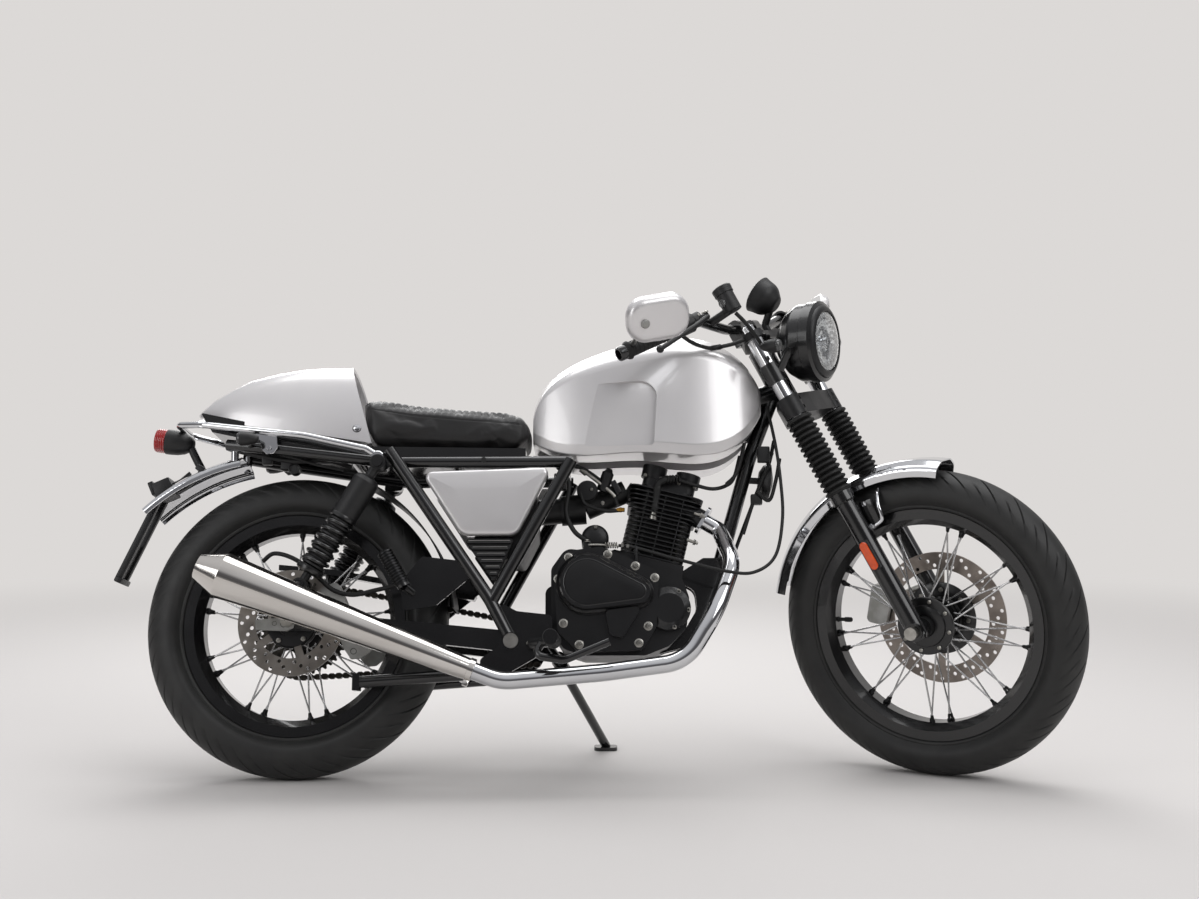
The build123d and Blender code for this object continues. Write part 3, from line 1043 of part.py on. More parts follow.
def silencer():
    """Megaphone silencer: a long cone, a ring, a reverse cone and an open tip."""
    front, rear = Vector(*SILENCER_FRONT), Vector(*SILENCER_REAR)
    length = (rear - front).length
    outline = [
        (0, 0.3), (SILENCER_START_RADIUS, 0.3), (SILENCER_START_RADIUS + 1.5, 26.0), (SILENCER_END_RADIUS, length),
        (SILENCER_TIP_RADIUS, length + 50.0), (SILENCER_TIP_RADIUS - 4.0, length + 50.0), (SILENCER_TIP_RADIUS - 4.0, length + 4.0), (0, length + 4.0),
    ]
    return turned(outline, Plane(origin=front, z_dir=rear - front), [0, 0, 0, 6.0, 0, 0, 0, 0])


def silencer_hanger():
    """Strap from the frame to the silencer."""
    return side_plate([(236.0, 300.0), (262.0, 300.0), (300.0, 372.0), (276.0, 380.0)], -146.0, -140.0, 4.0)


def chain():
    """Drive chain as separate links, from the drive sprocket's cover round the rear sprocket."""
    big = CHAIN_PITCH / (2 * sin(pi / SPROCKET_TEETH))
    small = CHAIN_PITCH / (2 * sin(pi / DRIVE_SPROCKET_TEETH))
    centre_big = REAR_AXLE
    centre_small = Vector(*DRIVE_CENTRE)
    span = centre_small - centre_big
    distance = span.length
    tilt = atan2(span.Z, span.X)
    dip = atan2(big - small, distance)
    upper_angle = tilt + pi / 2 - dip
    lower_angle = tilt - pi / 2 + dip
    wrap = 2 * pi - (upper_angle - lower_angle)
    run = distance * cos(dip)
    total = 2 * run + wrap * big
    count = int(total // CHAIN_PITCH)
    links = []
    for index in range(count):
        travelled = (index + 0.5) * CHAIN_PITCH
        if travelled < run:
            along, angle = run - travelled, upper_angle
        elif travelled < run + wrap * big:
            along, angle = 0.0, upper_angle + (travelled - run) / big
        else:
            along, angle = travelled - run - wrap * big, lower_angle
        outward = Vector(cos(angle), 0, sin(angle))
        forward = Vector(sin(upper_angle), 0, -cos(upper_angle)) if travelled < run else Vector(-sin(lower_angle), 0, cos(lower_angle))
        middle = centre_big + outward * big + (forward * along)
        width = CHAIN_WIDTHS[index % 2]
        half, high = CHAIN_PITCH / 2 - SEAT_GAP / 2, CHAIN_LINK_HEIGHT / 2
        side = [(-half, -high * 0.5), (-half * 0.5, -high), (half * 0.5, -high), (half, -high * 0.5), (half, high * 0.5), (half * 0.5, high), (-half * 0.5, high), (-half, high * 0.5)]
        place = Pos(middle.X, SPROCKET_Y, middle.Z) * Rot(0, 90.0 - degrees(angle), 0)
        link = place * side_plate(side, -width / 2, width / 2)
        if middle.X < CHAIN_END_X:
            links.append(link)
    return Compound(links)


DRIVE_CENTRE = (530.0, 0.0, 276.0)
CHAIN_END_X = 505.0


def rear_caliper():
    """Rear brake caliper on its bracket, above and ahead of the axle."""
    body = Rot(0, -24.0, 0) * caliper(REAR_DISC_Y, REAR_DISC_RADIUS - 8.0, 40.0, 40.0, 74.0, DISC_THICKNESS + 10.0)
    return Pos(0, 0, REAR_AXLE_HEIGHT) * body - swingarm()


def horn():
    """Disc horn on a short strap ahead of the down tube."""
    seat_plane = Plane(origin=(968.0, 0, 620.0), x_dir=(0, 1, 0), z_dir=(1, 0, -0.1))
    body = turned([(0, 0), (20.0, 0), (34.0, 8.0), (38.0, 18.0), (38.0, 24.0), (12.0, 30.0), (0, 30.0)], seat_plane)
    strap = rod((930.0, 0, 622.0), (968.0, 0, 620.0), 7.0)
    return body + (strap - down_tube())


def rider_footpegs():
    """Rider's footpegs with rubber sleeves, on brackets from the pivot plates."""
    peg = rod((540.0, -196.0, 262.0), (536.0, -300.0, 262.0), 14.0)
    foot = -PLATE_INNER_Y - PLATE_THICKNESS - SEAT_GAP
    bracket = bent_tube([(492.0, foot, 262.0), (492.0, foot - 30.0, 262.0), (540.0, -198.0, 262.0)], [16.0], 10.0)
    return both_sides(peg + bracket)


def brake_pedal():
    """Rear brake pedal, a forged arm with a pad."""
    arm = bent_tube([(516.0, -178.0, 262.0), (500.0, -186.0, 236.0), (560.0, -194.0, 226.0), (648.0, -196.0, 262.0)], [12.0, 30.0], 8.0)
    return arm


def shift_lever():
    """Gear lever on the left side."""
    shaft = ENGINE_HALF_WIDTH + 22.0 + SEAT_GAP
    arm = bent_tube([(600.0, shaft, 290.0), (600.0, shaft + 40.0, 290.0), (640.0, 180.0, 278.0), (700.0, 190.0, 292.0)], [16.0, 30.0], 6.0)
    return arm


def pillion_pegs():
    """Folded pillion pegs on their bracket plates."""
    plate = side_plate([(236.0, 330.0), (300.0, 340.0), (372.0, 400.0), (356.0, 430.0), (270.0, 440.0), (226.0, 384.0)], -134.0, -128.0, 8.0)
    peg = rod((196.0, -150.0, 446.0), (238.0, -150.0, 376.0), 13.0)
    stem = rod((238.0, -152.0, 376.0), (252.0, -131.0, 366.0), 8.0)
    return both_sides(plate + peg + stem)


# Stands

STAND_BOLT_SLOPE = Vector(-0.126, 0.775, 0.62)


def centre_stand():
    """Folded centre stand: two legs on a pivot tube, with a foot at each end."""
    px, pz = CENTRE_STAND_PIVOT
    half = CENTRE_STAND_HALF_WIDTH
    tilt = radians(4.0)
    toe = (px - CENTRE_STAND_REACH * cos(tilt), -half - 8.0, pz - CENTRE_STAND_REACH * sin(tilt))
    leg = rod((px, -half + 8.0, pz), toe, CENTRE_STAND_RADIUS)
    foot = Pos(*toe) * Box(14.0, 30.0, 34.0, align=MIDDLE)
    tube = about_y((px, 0, pz)) * Cylinder(13.0, 2 * half - 10.0, align=MIDDLE)
    brace = rod((px - 60.0, -half, pz - 4.0), (px - 60.0, half, pz - 4.0), 9.0)
    bore = about_y((px, 0, pz)) * Cylinder(STAND_PIN_RADIUS + RUNNING_FIT, 2 * half + 40.0, align=MIDDLE)
    return both_sides(leg + foot) + tube + brace - bore


PITCH_STEPS = 4


def turn_about(point, origin, direction, angle):
    """Point turned about the axis through origin."""
    return (point - origin).rotate(Axis((0, 0, 0), direction), angle) + origin


def leaned(vector):
    """Direction or point after the lean to the left."""
    return vector.rotate(Axis.X, -LEAN)


def tread_low(centre, axle, radius, crown):
    """Height of the lowest point of a tyre's tread."""
    return centre.Z - (radius - crown) * (1 - axle.Z ** 2) ** 0.5 - crown


def ground_fit():
    """Pitch angle and lift that put both tyres on the ground."""
    rear_centre, rear_axle_dir = leaned(REAR_AXLE), leaned(Vector(0, 1, 0))
    front_centre = leaned(turn_about(FRONT_AXLE, AXIS_FOOT, STEER_DIRECTION, -STEER_RIGHT))
    front_axle_dir = leaned(Vector(0, 1, 0).rotate(Axis((0, 0, 0), STEER_DIRECTION), -STEER_RIGHT))
    pitch = 0.0
    for _ in range(PITCH_STEPS):
        turned_rear = rear_centre.rotate(Axis.Y, pitch)
        turned_front = front_centre.rotate(Axis.Y, pitch)
        rear = tread_low(turned_rear, rear_axle_dir.rotate(Axis.Y, pitch), REAR_TYRE_RADIUS, REAR_TYRE_CROWN)
        front = tread_low(turned_front, front_axle_dir.rotate(Axis.Y, pitch), FRONT_TYRE_RADIUS, FRONT_TYRE_CROWN)
        pitch += degrees(atan2(front - rear, turned_front.X - turned_rear.X))
    return pitch, -rear


PITCH, LIFT = ground_fit()


def to_ground(point):
    """Point of the upright motorcycle where it lies once parked."""
    return leaned(Vector(*point)).rotate(Axis.Y, PITCH) + Vector(0, 0, LIFT)


def parked(shape):
    """Shape of the upright motorcycle, leaned and set down."""
    return Pos(0, 0, LIFT) * shape.rotate(Axis.X, -LEAN).rotate(Axis.Y, PITCH)


STAND_PIVOT_PARKED = to_ground(SIDE_STAND_PIVOT)
STAND_LEG = Vector(SIDE_STAND_FOOT[0], SIDE_STAND_FOOT[1], 10.0) - STAND_PIVOT_PARKED
STAND_BOLT = to_ground(Vector(*SIDE_STAND_PIVOT) + STAND_BOLT_SLOPE) - STAND_PIVOT_PARKED
STAND_AXIS = (STAND_BOLT - STAND_LEG * (STAND_BOLT.dot(STAND_LEG) / STAND_LEG.dot(STAND_LEG))).normalized()
STAND_SEAT = Plane(origin=STAND_PIVOT_PARKED, x_dir=STAND_LEG, z_dir=STAND_AXIS)
STAND_EYE_RADIUS = 16.0
STAND_EYE_WIDTH = 12.0


def side_stand():
    """Side stand leg with its foot plate flat on the ground, built where it lies once parked."""
    length = STAND_LEG.length
    neck_end = STAND_EYE_RADIUS + 8.0
    neck = STAND_SEAT * Pos(neck_end / 2, 0, 0) * Box(neck_end, 20.0, STAND_EYE_WIDTH, align=MIDDLE)
    along = STAND_LEG.normalized()
    leg_start = STAND_PIVOT_PARKED + along * neck_end
    leg_end = STAND_PIVOT_PARKED + along * (length + 4.0)
    leg = rod(tuple(leg_start), tuple(leg_end), SIDE_STAND_RADIUS)
    foot = Vector(SIDE_STAND_FOOT[0], SIDE_STAND_FOOT[1], 0.0)
    pad = Pos(*foot) * extrude(RectangleRounded(52.0, 38.0, 12.0), amount=8.0)
    ground = Pos(foot.X, foot.Y, 0) * Box(200.0, 200.0, 60.0, align=(Align.CENTER, Align.CENTER, Align.MAX))
    eye = STAND_SEAT * Cylinder(STAND_EYE_RADIUS, STAND_EYE_WIDTH, align=MIDDLE)
    bore = STAND_SEAT * Cylinder(6.0 + RUNNING_FIT, 60.0, align=MIDDLE)
    return leg + neck + pad + eye - bore - ground


def side_stand_bracket():
    """Forked lug on the frame's left side with the side stand's pivot bolt, built where it lies once parked."""
    bolt = STAND_SEAT * Cylinder(6.0, 34.0, align=MIDDLE)
    lift = STAND_EYE_WIDTH / 2 + SEAT_GAP
    upper = STAND_SEAT * Pos(-6.0, 0, lift) * Box(34.0, 30.0, 6.0, align=BASE)
    lower = STAND_SEAT * Pos(-6.0, 0, -lift - 6.0) * Box(34.0, 30.0, 6.0, align=BASE)
    back = STAND_SEAT * Pos(-STAND_EYE_RADIUS - 8.0, 0, 0) * Box(6.0, 30.0, 2 * lift + 12.0, align=MIDDLE)
    arm_start = STAND_PIVOT_PARKED - STAND_LEG.normalized() * (STAND_EYE_RADIUS + 6.0)
    arm_end = to_ground((512.0, PLATE_INNER_Y + PLATE_THICKNESS + 5.5, 288.0))
    arm = rod(tuple(arm_start), tuple(arm_end), 12.0)
    eye_space = STAND_SEAT * Cylinder(STAND_EYE_RADIUS + 2.0, STAND_EYE_WIDTH + 2 * SEAT_GAP, align=MIDDLE)
    return bolt + (upper + lower + back + arm - eye_space) - parked(frame_stays()) - parked(swingarm_pivot())


def yokes():
    """Both yokes and the stem that joins them."""
    return yoke(LOWER_YOKE_LOW, LOWER_YOKE_HIGH, 62.0) + yoke(UPPER_YOKE_LOW, UPPER_YOKE_HIGH, 52.0) + steering_stem()


def bar_controls():
    """Switch housings, levers and the brake fluid reservoir."""
    return bar_switches() + control_levers() + brake_reservoir() - handlebar() - bar_grips()


@cache
def headlamp_shell():
    """Headlamp bucket on its brackets."""
    hollow = LAMP_SEAT * Pos(0, 0, -8.0) * Cylinder(HEADLAMP_RADIUS, 40.0, align=BASE)
    return headlamp_bucket() + (headlamp_brackets() - headlamp_bucket() - hollow)


def front_fender():
    """Front fender with its arms."""
    return front_fender_shell() + (fender_stays() - fork_lower_legs())


def frame_spindles():
    """Swingarm pivot, rear axle and centre stand pin."""
    px, pz = CENTRE_STAND_PIVOT
    pin = rod((px, -SIDE_TUBE_Y - 10.0, pz), (px, SIDE_TUBE_Y + 10.0, pz), STAND_PIN_RADIUS)
    return Compound([swingarm_pivot(), rear_axle(), pin])


def engine_covers():
    """Bolted covers on both sides of the crankcase."""
    return Compound([right_engine_cover(), left_engine_cover() - crankcase()])


def foot_controls():
    """Rider's footpegs, folded pillion pegs, brake pedal and gear lever."""
    return rider_footpegs() + pillion_pegs() + brake_pedal() + shift_lever() - frame_stays()


STEERING_PARTS = {
    "fork_lower_legs": fork_lower_legs,
    "fork_tubes": fork_tubes,
    "fork_gaiters": fork_gaiters,
    "yokes": yokes,
    "handlebar": handlebar,
    "bar_grips": bar_grips,
    "bar_controls": bar_controls,
    "bar_end_mirrors": bar_end_mirrors,
    "headlamp_shell": headlamp_shell,
    "headlamp_lens": headlamp_lens,
    "gauge": gauge,
    "front_indicators": front_indicators,
    "front_fender": front_fender,
    "front_axle": front_axle,
    "front_caliper": front_caliper,
}

FRAME_PARTS = {
    "head_and_backbone": head_and_backbone,
    "down_tube": down_tube,
    "frame_stays": frame_stays,
    "subframe": subframe,
    "swingarm": swingarm,
    "frame_spindles": frame_spindles,
    "rear_shocks": rear_shocks,
    "fuel_tank": fuel_tank,
    "fuel_cap": fuel_cap,
    "seat": seat,
    "tail_cowl": tail_cowl,
    "grab_rail": grab_rail,
    "side_panels": side_panels,
    "rear_fender": rear_fender,
    "rear_hugger": rear_hugger,
    "tail_lamp": tail_lamp,
    "plate_bracket": plate_bracket,
    "crankcase": crankcase,
    "engine_covers": engine_covers,
    "cylinder_barrel": cylinder_barrel,
    "cylinder_head": cylinder_head,
    "intake": intake,
    "exhaust_header": exhaust_header,
    "silencer": silencer,
    "chain": chain,
    "rear_caliper": rear_caliper,
    "horn": horn,
    "foot_controls": foot_controls,
}


def all_parts():
    """Every part in its parked place, still about the point under the rear axle."""
    placed = {}
    for name, build in FRAME_PARTS.items():
        placed[name] = parked(build())
    placed["centre_stand"] = parked(centre_stand())
    placed["side_stand"] = side_stand()
    placed["side_stand_bracket"] = side_stand_bracket()
    for name, shape in rear_wheel().items():
        placed[name] = parked(Pos(*REAR_AXLE) * shape)
    for name, build in STEERING_PARTS.items():
        placed[name] = parked((FORK_SEAT * build()).rotate(STEER_AXIS, -STEER_RIGHT))
    for name, shape in front_wheel().items():
        in_fork = Pos(FORK_OFFSET, 0, 0) * shape
        placed[name] = parked((FORK_SEAT * in_fork).rotate(STEER_AXIS, -STEER_RIGHT))
    return placed


if __name__ == "__main__":
    parts = all_parts()
    bounds = Compound(list(parts.values())).bounding_box()
    centre = Vector((bounds.min.X + bounds.max.X) / 2, (bounds.min.Y + bounds.max.Y) / 2, 0)
    os.makedirs("parts", exist_ok=True)
    for name, shape in parts.items():
        export_step(Pos(-centre.X, -centre.Y, 0) * shape, "parts/" + name + ".step")
    print("origin shift", centre, "size", bounds.size)
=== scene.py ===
"""Looks of a cafe racer motorcycle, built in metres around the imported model."""
import logging
from dataclasses import dataclass
from enum import Enum
from math import acos, cos, pi, radians, sin, tau
from typing import Callable, Iterable, Sequence

import bmesh
import bpy
from mathutils import Matrix, Vector


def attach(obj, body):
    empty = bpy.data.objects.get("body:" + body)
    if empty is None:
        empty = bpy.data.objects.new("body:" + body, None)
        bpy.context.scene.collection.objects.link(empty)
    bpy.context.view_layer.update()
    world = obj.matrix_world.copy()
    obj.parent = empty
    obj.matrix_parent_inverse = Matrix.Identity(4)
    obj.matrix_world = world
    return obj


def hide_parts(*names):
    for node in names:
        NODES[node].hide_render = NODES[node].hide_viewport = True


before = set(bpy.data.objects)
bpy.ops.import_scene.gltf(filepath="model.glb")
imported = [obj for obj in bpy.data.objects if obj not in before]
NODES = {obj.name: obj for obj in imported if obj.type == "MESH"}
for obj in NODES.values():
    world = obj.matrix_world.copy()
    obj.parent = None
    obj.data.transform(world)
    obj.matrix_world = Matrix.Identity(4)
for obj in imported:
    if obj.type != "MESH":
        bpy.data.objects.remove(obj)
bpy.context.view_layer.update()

LOG = logging.getLogger("motorcycle")
MM = 0.001
Point = Sequence[float]
Pair = tuple[float, float]
Spot = tuple[float, float, float]
Pairs = tuple[Pair, ...]
Spots = tuple[Spot, ...]
Outline = Sequence[Pair]
Row = list[bmesh.types.BMVert]
Tree = bpy.types.NodeTree
Socket = bpy.types.NodeSocket
Piece = bpy.types.Object


class Body(Enum):
    """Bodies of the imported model."""

    FRAME = "frame"
    STEERING = "steering"
    FRONT_WHEEL = "front_wheel"
    REAR_WHEEL = "rear_wheel"
    SIDE_STAND = "side_stand"
    CENTRE_STAND = "centre_stand"


@dataclass(frozen=True)
class Parking:
    """How the upright, straight-ahead motorcycle lies once parked, in millimetres and degrees."""

    shift: tuple[float, float] = (611.337, 183.987)
    lean: float = 12.5
    pitch: float = -0.14992
    lift: float = 1.4233
    rake: float = 27.0
    steer: float = 35.4
    wheelbase: float = 1325.0
    fork_offset: float = 41.0
    front_radius: float = 318.5
    rear_radius: float = 312.0
    front_seat: float = 228.6
    rear_seat: float = 216.0

    def bike(self) -> Matrix:
        """Lays the upright motorcycle down as it is parked.

        Returns:
            Matrix from its millimetres to the row frame's metres.
        """
        move = Matrix.Translation((-self.shift[0], -self.shift[1], self.lift))
        turn = Matrix.Rotation(radians(self.pitch), 4, "Y") @ Matrix.Rotation(radians(-self.lean), 4, "X")
        return Matrix.Scale(MM, 4) @ move @ turn

    def fork(self) -> Matrix:
        """Turns the fork about its steering axis as it is parked.

        Returns:
            Matrix from its own millimetres (ahead, left, up the steering axis) to the row frame.
        """
        rake = radians(self.rake)
        back, down = self.fork_offset * cos(rake), self.fork_offset * sin(rake)
        foot = Vector((self.wheelbase - back, 0, self.front_radius - down))
        headstock = Matrix.Translation(foot) @ Matrix.Rotation(-rake, 4, "Y")
        return self.bike() @ headstock @ Matrix.Rotation(radians(-self.steer), 4, "Z")

    def front_wheel(self) -> Matrix:
        """Matrix from the front wheel's own millimetres to the row frame."""
        return self.fork() @ Matrix.Translation((self.fork_offset, 0, 0))

    def rear_wheel(self) -> Matrix:
        """Matrix from the rear wheel's own millimetres to the row frame."""
        return self.bike() @ Matrix.Translation((0, 0, self.rear_radius))


PARKING = Parking()


# Colours and material nodes


def linear(hex_code: str) -> tuple[float, float, float, float]:
    """Linear colour of an sRGB hex code.

    Args:
        hex_code: Six hex digits, such as "c8c6c0".

    Returns:
        Red, green, blue and alpha, linear.
    """
    channels = [int(hex_code[i:i + 2], 16) / 255 for i in (0, 2, 4)]
    light = [c / 12.92 if c <= 0.04045 else ((c + 0.055) / 1.055) ** 2.4 for c in channels]
    return (light[0], light[1], light[2], 1.0)


def add_node(
    tree: Tree, kind: str, links: dict | None = None, values: dict | None = None, **settings
) -> bpy.types.Node:
    """Adds a node with its settings and links.

    Args:
        tree: Node tree that gets the node.
        kind: Node type, such as "ShaderNodeTexNoise".
        links: Input name or index to the output socket that feeds it.
        values: Input name or index to a fixed value.
        settings: Attributes of the node itself.

    Returns:
        The new node.
    """
    node = tree.nodes.new(kind)
    for name, value in settings.items():
        setattr(node, name, value)
    for key, value in (values or {}).items():
        node.inputs[key].default_value = value
    for key, socket in (links or {}).items():
        tree.links.new(socket, node.inputs[key])
    return node


def ramp(tree: Tree, factor: Socket, stops: Sequence[tuple[float, str]]) -> Socket:
    """Colour ramp over a factor.

    Args:
        tree: Node tree that gets the ramp.
        factor: Socket that drives it.
        stops: Position and sRGB hex code of each stop.

    Returns:
        The ramp's colour socket.
    """
    node = add_node(tree, "ShaderNodeValToRGB", {0: factor})
    elements = node.color_ramp.elements
    while len(elements) < len(stops):
        elements.new(0.5)
    for element, (position, code) in zip(elements, stops):
        element.position = position
        element.color = linear(code)
    return node.outputs["Color"]


@dataclass(frozen=True)
class Finish:
    """One surface finish: its colours, gloss and the grain that its making leaves, sized in millimetres."""

    name: str
    colour: str
    mottle: str
    roughness: float
    metallic: float = 0.0
    grain: float = 1.0
    bump: float = 0.0
    mottle_size: float = 60.0
    uneven: float = 0.06
    coat: float = 0.0
    coat_roughness: float = 0.03
    stretch: Spot = (1, 1, 1)
    spin: Spot = (0, 0, 0)
    specular: float = 0.5
    transmission: float = 0.0
    ior: float = 1.5

    def place(self, tree: Tree) -> Socket:
        """Coordinates in the row frame, turned and stretched as the tool marks run.

        Args:
            tree: Node tree of the material.

        Returns:
            The coordinates in metres.
        """
        where = add_node(tree, "ShaderNodeTexCoord")
        turned = add_node(tree, "ShaderNodeMapping", {"Vector": where.outputs["Object"]},
                          {"Rotation": self.spin, "Scale": self.stretch})
        return turned.outputs["Vector"]

    def noise(self, tree: Tree, vector: Socket, size_mm: float, detail: float = 3.0) -> Socket:
        """Noise whose features are size_mm across."""
        node = add_node(tree, "ShaderNodeTexNoise", {"Vector": vector},
                        {"Scale": 1.0 / (size_mm * MM), "Detail": detail})
        return node.outputs["Fac"]

    def height(self, tree: Tree, vector: Socket) -> Socket:
        """Surface height of the grain, from 0 to 1."""
        return self.noise(tree, vector, self.grain)

    def tint(self, tree: Tree, vector: Socket) -> Socket:
        """Colour that drifts between the two given ones."""
        drift = self.noise(tree, vector, self.mottle_size, 4.0)
        return ramp(tree, drift, [(0.35, self.colour), (0.68, self.mottle)])

    def material(self) -> bpy.types.Material:
        """Builds the material at the first call.

        Returns:
            The same material at each call.
        """
        made = bpy.data.materials.get(self.name)
        if made:
            return made
        made = bpy.data.materials.new(self.name)
        made.use_nodes = True
        tree = made.node_tree
        shader = tree.nodes["Principled BSDF"]
        vector = self.place(tree)
        tree.links.new(self.tint(tree, vector), shader.inputs["Base Color"])
        for name, value in (
            ("Metallic", self.metallic), ("Coat Weight", self.coat),
            ("Coat Roughness", self.coat_roughness), ("Specular IOR Level", self.specular),
            ("Transmission Weight", self.transmission),
        ):
            shader.inputs[name].default_value = value
        if self.metallic < 0.5:
            shader.inputs["IOR"].default_value = self.ior
        rub = self.noise(tree, vector, self.mottle_size * 0.4, 5.0)
        spread = add_node(tree, "ShaderNodeMapRange", {"Value": rub},
                          {"To Min": self.roughness - self.uneven, "To Max": self.roughness + self.uneven})
        tree.links.new(spread.outputs["Result"], shader.inputs["Roughness"])
        if self.bump > 0:
            lift = add_node(tree, "ShaderNodeBump", {"Height": self.height(tree, vector)},
                            {"Strength": 1.0, "Distance": self.bump * MM})
            tree.links.new(lift.outputs["Normal"], shader.inputs["Normal"])
        return made


@dataclass(frozen=True)
class EmbossedVinyl(Finish):
    """Vinyl with an embossed hide grain: small rounded cells with creases between them."""

    def height(self, tree: Tree, vector: Socket) -> Socket:
        """Cells from a smooth Voronoi pattern, one grain wide."""
        cells = add_node(tree, "ShaderNodeTexVoronoi", {"Vector": vector},
                         {"Scale": 1.0 / (self.grain * MM), "Smoothness": 0.6}, feature="SMOOTH_F1")
        return cells.outputs["Distance"]


@dataclass(frozen=True)
class TurnedSteel(Finish):
    """Steel ground while it turned, with rings about its own axle."""

    seat: Callable[[], Matrix] = PARKING.front_wheel

    def place(self, tree: Tree) -> Socket:
        """Coordinates about the axle, its axis along Z.

        Args:
            tree: Node tree of the material.

        Returns:
            The coordinates in metres from the wheel's middle.
        """
        where = add_node(tree, "ShaderNodeTexCoord")
        matrix = self.seat() @ Matrix.Rotation(radians(90), 4, "X") @ Matrix.Scale(1 / MM, 4)
        position, rotation, _ = matrix.decompose()
        moved = add_node(tree, "ShaderNodeMapping", {"Vector": where.outputs["Object"]},
                         {"Location": position, "Rotation": rotation.to_euler()}, vector_type="TEXTURE")
        return moved.outputs["Vector"]

    def height(self, tree: Tree, vector: Socket) -> Socket:
        """Rings one grain apart, slightly broken up."""
        scale = 1.0 / (self.grain * MM) / 20
        values = {"Scale": scale, "Distortion": 1.5, "Detail": 3.0, "Detail Scale": 4.0}
        rings = add_node(tree, "ShaderNodeTexWave", {"Vector": vector}, values,
                         wave_type="RINGS", rings_direction="Z")
        return rings.outputs["Fac"]


class Paint(Enum):
    """Every finish on the motorcycle, named for its material and how it was made."""

    # Two-coat silver base coat under clear lacquer: fine flake, soft gleam with a sharp coat reflection
    SILVER_BASECOAT = Finish(
        "silver_basecoat_lacquered", "dedcdc", "d4d2d3", 0.32, 0.50, 0.35, 0.004, 240, 0.03, 0.9, 0.04
    )
    # Gloss black stoved enamel on welded steel tube: deep black with faint orange peel
    BLACK_ENAMEL = Finish(
        "black_stoved_enamel", "0b0b0c", "111112", 0.22, 0.0, 6.0, 0.03, 90, 0.05, 0.5, 0.06
    )
    # Satin black powder coat on sand-cast aluminium: fine granular skin
    BLACK_CASTING = Finish(
        "black_powder_coated_casting", "121213", "1c1c1e", 0.42, 0.25, 1.1, 0.06, 70, 0.08
    )
    # Black painted pressed covers, smoother than the casting
    BLACK_COVER = Finish(
        "black_painted_cover", "101011", "171718", 0.30, 0.1, 2.4, 0.03, 120, 0.05, 0.35, 0.12
    )
    # Polished chrome plate: mirror bright with faint waviness
    CHROME = Finish("polished_chrome_plate", "d9dadc", "cfd0d3", 0.06, 1.0, 26.0, 0.02, 160, 0.02)
    # Polished stainless tube with lengthwise polishing lines
    STAINLESS = Finish("polished_stainless_steel", "d9d6d2", "ccc8c3", 0.09, 1.0, 1.4, 0.006, 60, 0.03,
                       stretch=(0.03, 1, 1), spin=(0.0, radians(-20.7), 0.0))
    # Zinc plated steel fasteners: pale satin grey with small dull spots
    ZINC_STEEL = Finish("zinc_plated_steel", "b4b2ac", "9b9993", 0.32, 1.0, 0.8, 0.01, 12, 0.08)
    # Black oxide on steel screws and spoke nipples: dull dark grey with worn edges
    BLACK_OXIDE = Finish("black_oxide_steel", "1d1d1e", "303031", 0.36, 0.8, 0.7, 0.01, 8, 0.10)
    # Painted highlight, pale and metallic: pale lines along the top edge of each black grille blade
    SLAT_HIGHLIGHT = Finish("painted_slat_highlight", "a7a6a3", "939290", 0.36, 0.9, 0.6, 0.006, 30, 0.06)
    # White screen print on the dial: flat and chalky
    WHITE_PRINT = Finish("white_screen_print", "e8e8e4", "dededa", 0.55, 0.0, 0.5, 0.0, 20, 0.04)
    # Turned brass: a warm yellow glint
    BRASS = Finish("turned_brass", "b98b3e", "a3772f", 0.30, 1.0, 0.8, 0.01, 8, 0.08)
    # Drawn stainless spokes: thin bright lines
    DRAWN_STEEL = Finish("drawn_stainless_wire", "c4c4c4", "a9a9aa", 0.24, 1.0, 0.6, 0.006, 20, 0.06)
    # Machined and bead-blasted aluminium: even soft grey
    BLASTED_ALUMINIUM = Finish(
        "bead_blasted_aluminium", "a8a8a6", "93938f", 0.42, 1.0, 0.5, 0.015, 26, 0.08
    )
    # Oiled steel chain: dark, with brown in its hollows
    OILED_STEEL = Finish("oiled_steel", "4a4742", "24221f", 0.38, 0.9, 1.4, 0.02, 9, 0.12)
    # Vulcanised tyre rubber, dry and slightly dusty: dull charcoal
    TYRE_RUBBER = Finish("vulcanised_tyre_rubber", "191919", "232322", 0.54, 0.0, 1.6, 0.05, 55, 0.08)
    # Moulded rubber of grips, gaiters and pegs: dull black
    MOULDED_RUBBER = Finish(
        "moulded_rubber", "101010", "1a1a1a", 0.58, 0.0, 1.2, 0.03, 30, 0.08, specular=0.4
    )
    # Moulded black ABS with a spark-eroded texture: matt with a faint sparkle
    BLACK_ABS = Finish("spark_eroded_black_abs", "0f0f10", "161617", 0.48, 0.0, 0.9, 0.03, 50, 0.05)
    # Embossed vinyl seat cover: fine creases that catch the light
    SEAT_VINYL = EmbossedVinyl("embossed_seat_vinyl", "141314", "1c1b1b", 0.50, 0.0, 1.7, 0.10, 80, 0.07)
    # Ground stainless brake rotors: fine rings that fan the light out
    FRONT_ROTOR = TurnedSteel(
        "ground_front_rotor", "938b84", "7b736d", 0.30, 1.0, 1.2, 0.012, 40, 0.08, seat=PARKING.front_wheel
    )
    REAR_ROTOR = TurnedSteel(
        "ground_rear_rotor", "a09a93", "87817a", 0.30, 1.0, 1.2, 0.012, 40, 0.08, seat=PARKING.rear_wheel
    )
    # Moulded clear polycarbonate lamp glass: seen through, with sharp glints
    CLEAR_LENS = Finish(
        "clear_polycarbonate_lens", "f6f7f7", "eef0f0", 0.05, 0.0, 30.0, 0.0, 200, 0.02, transmission=0.94
    )
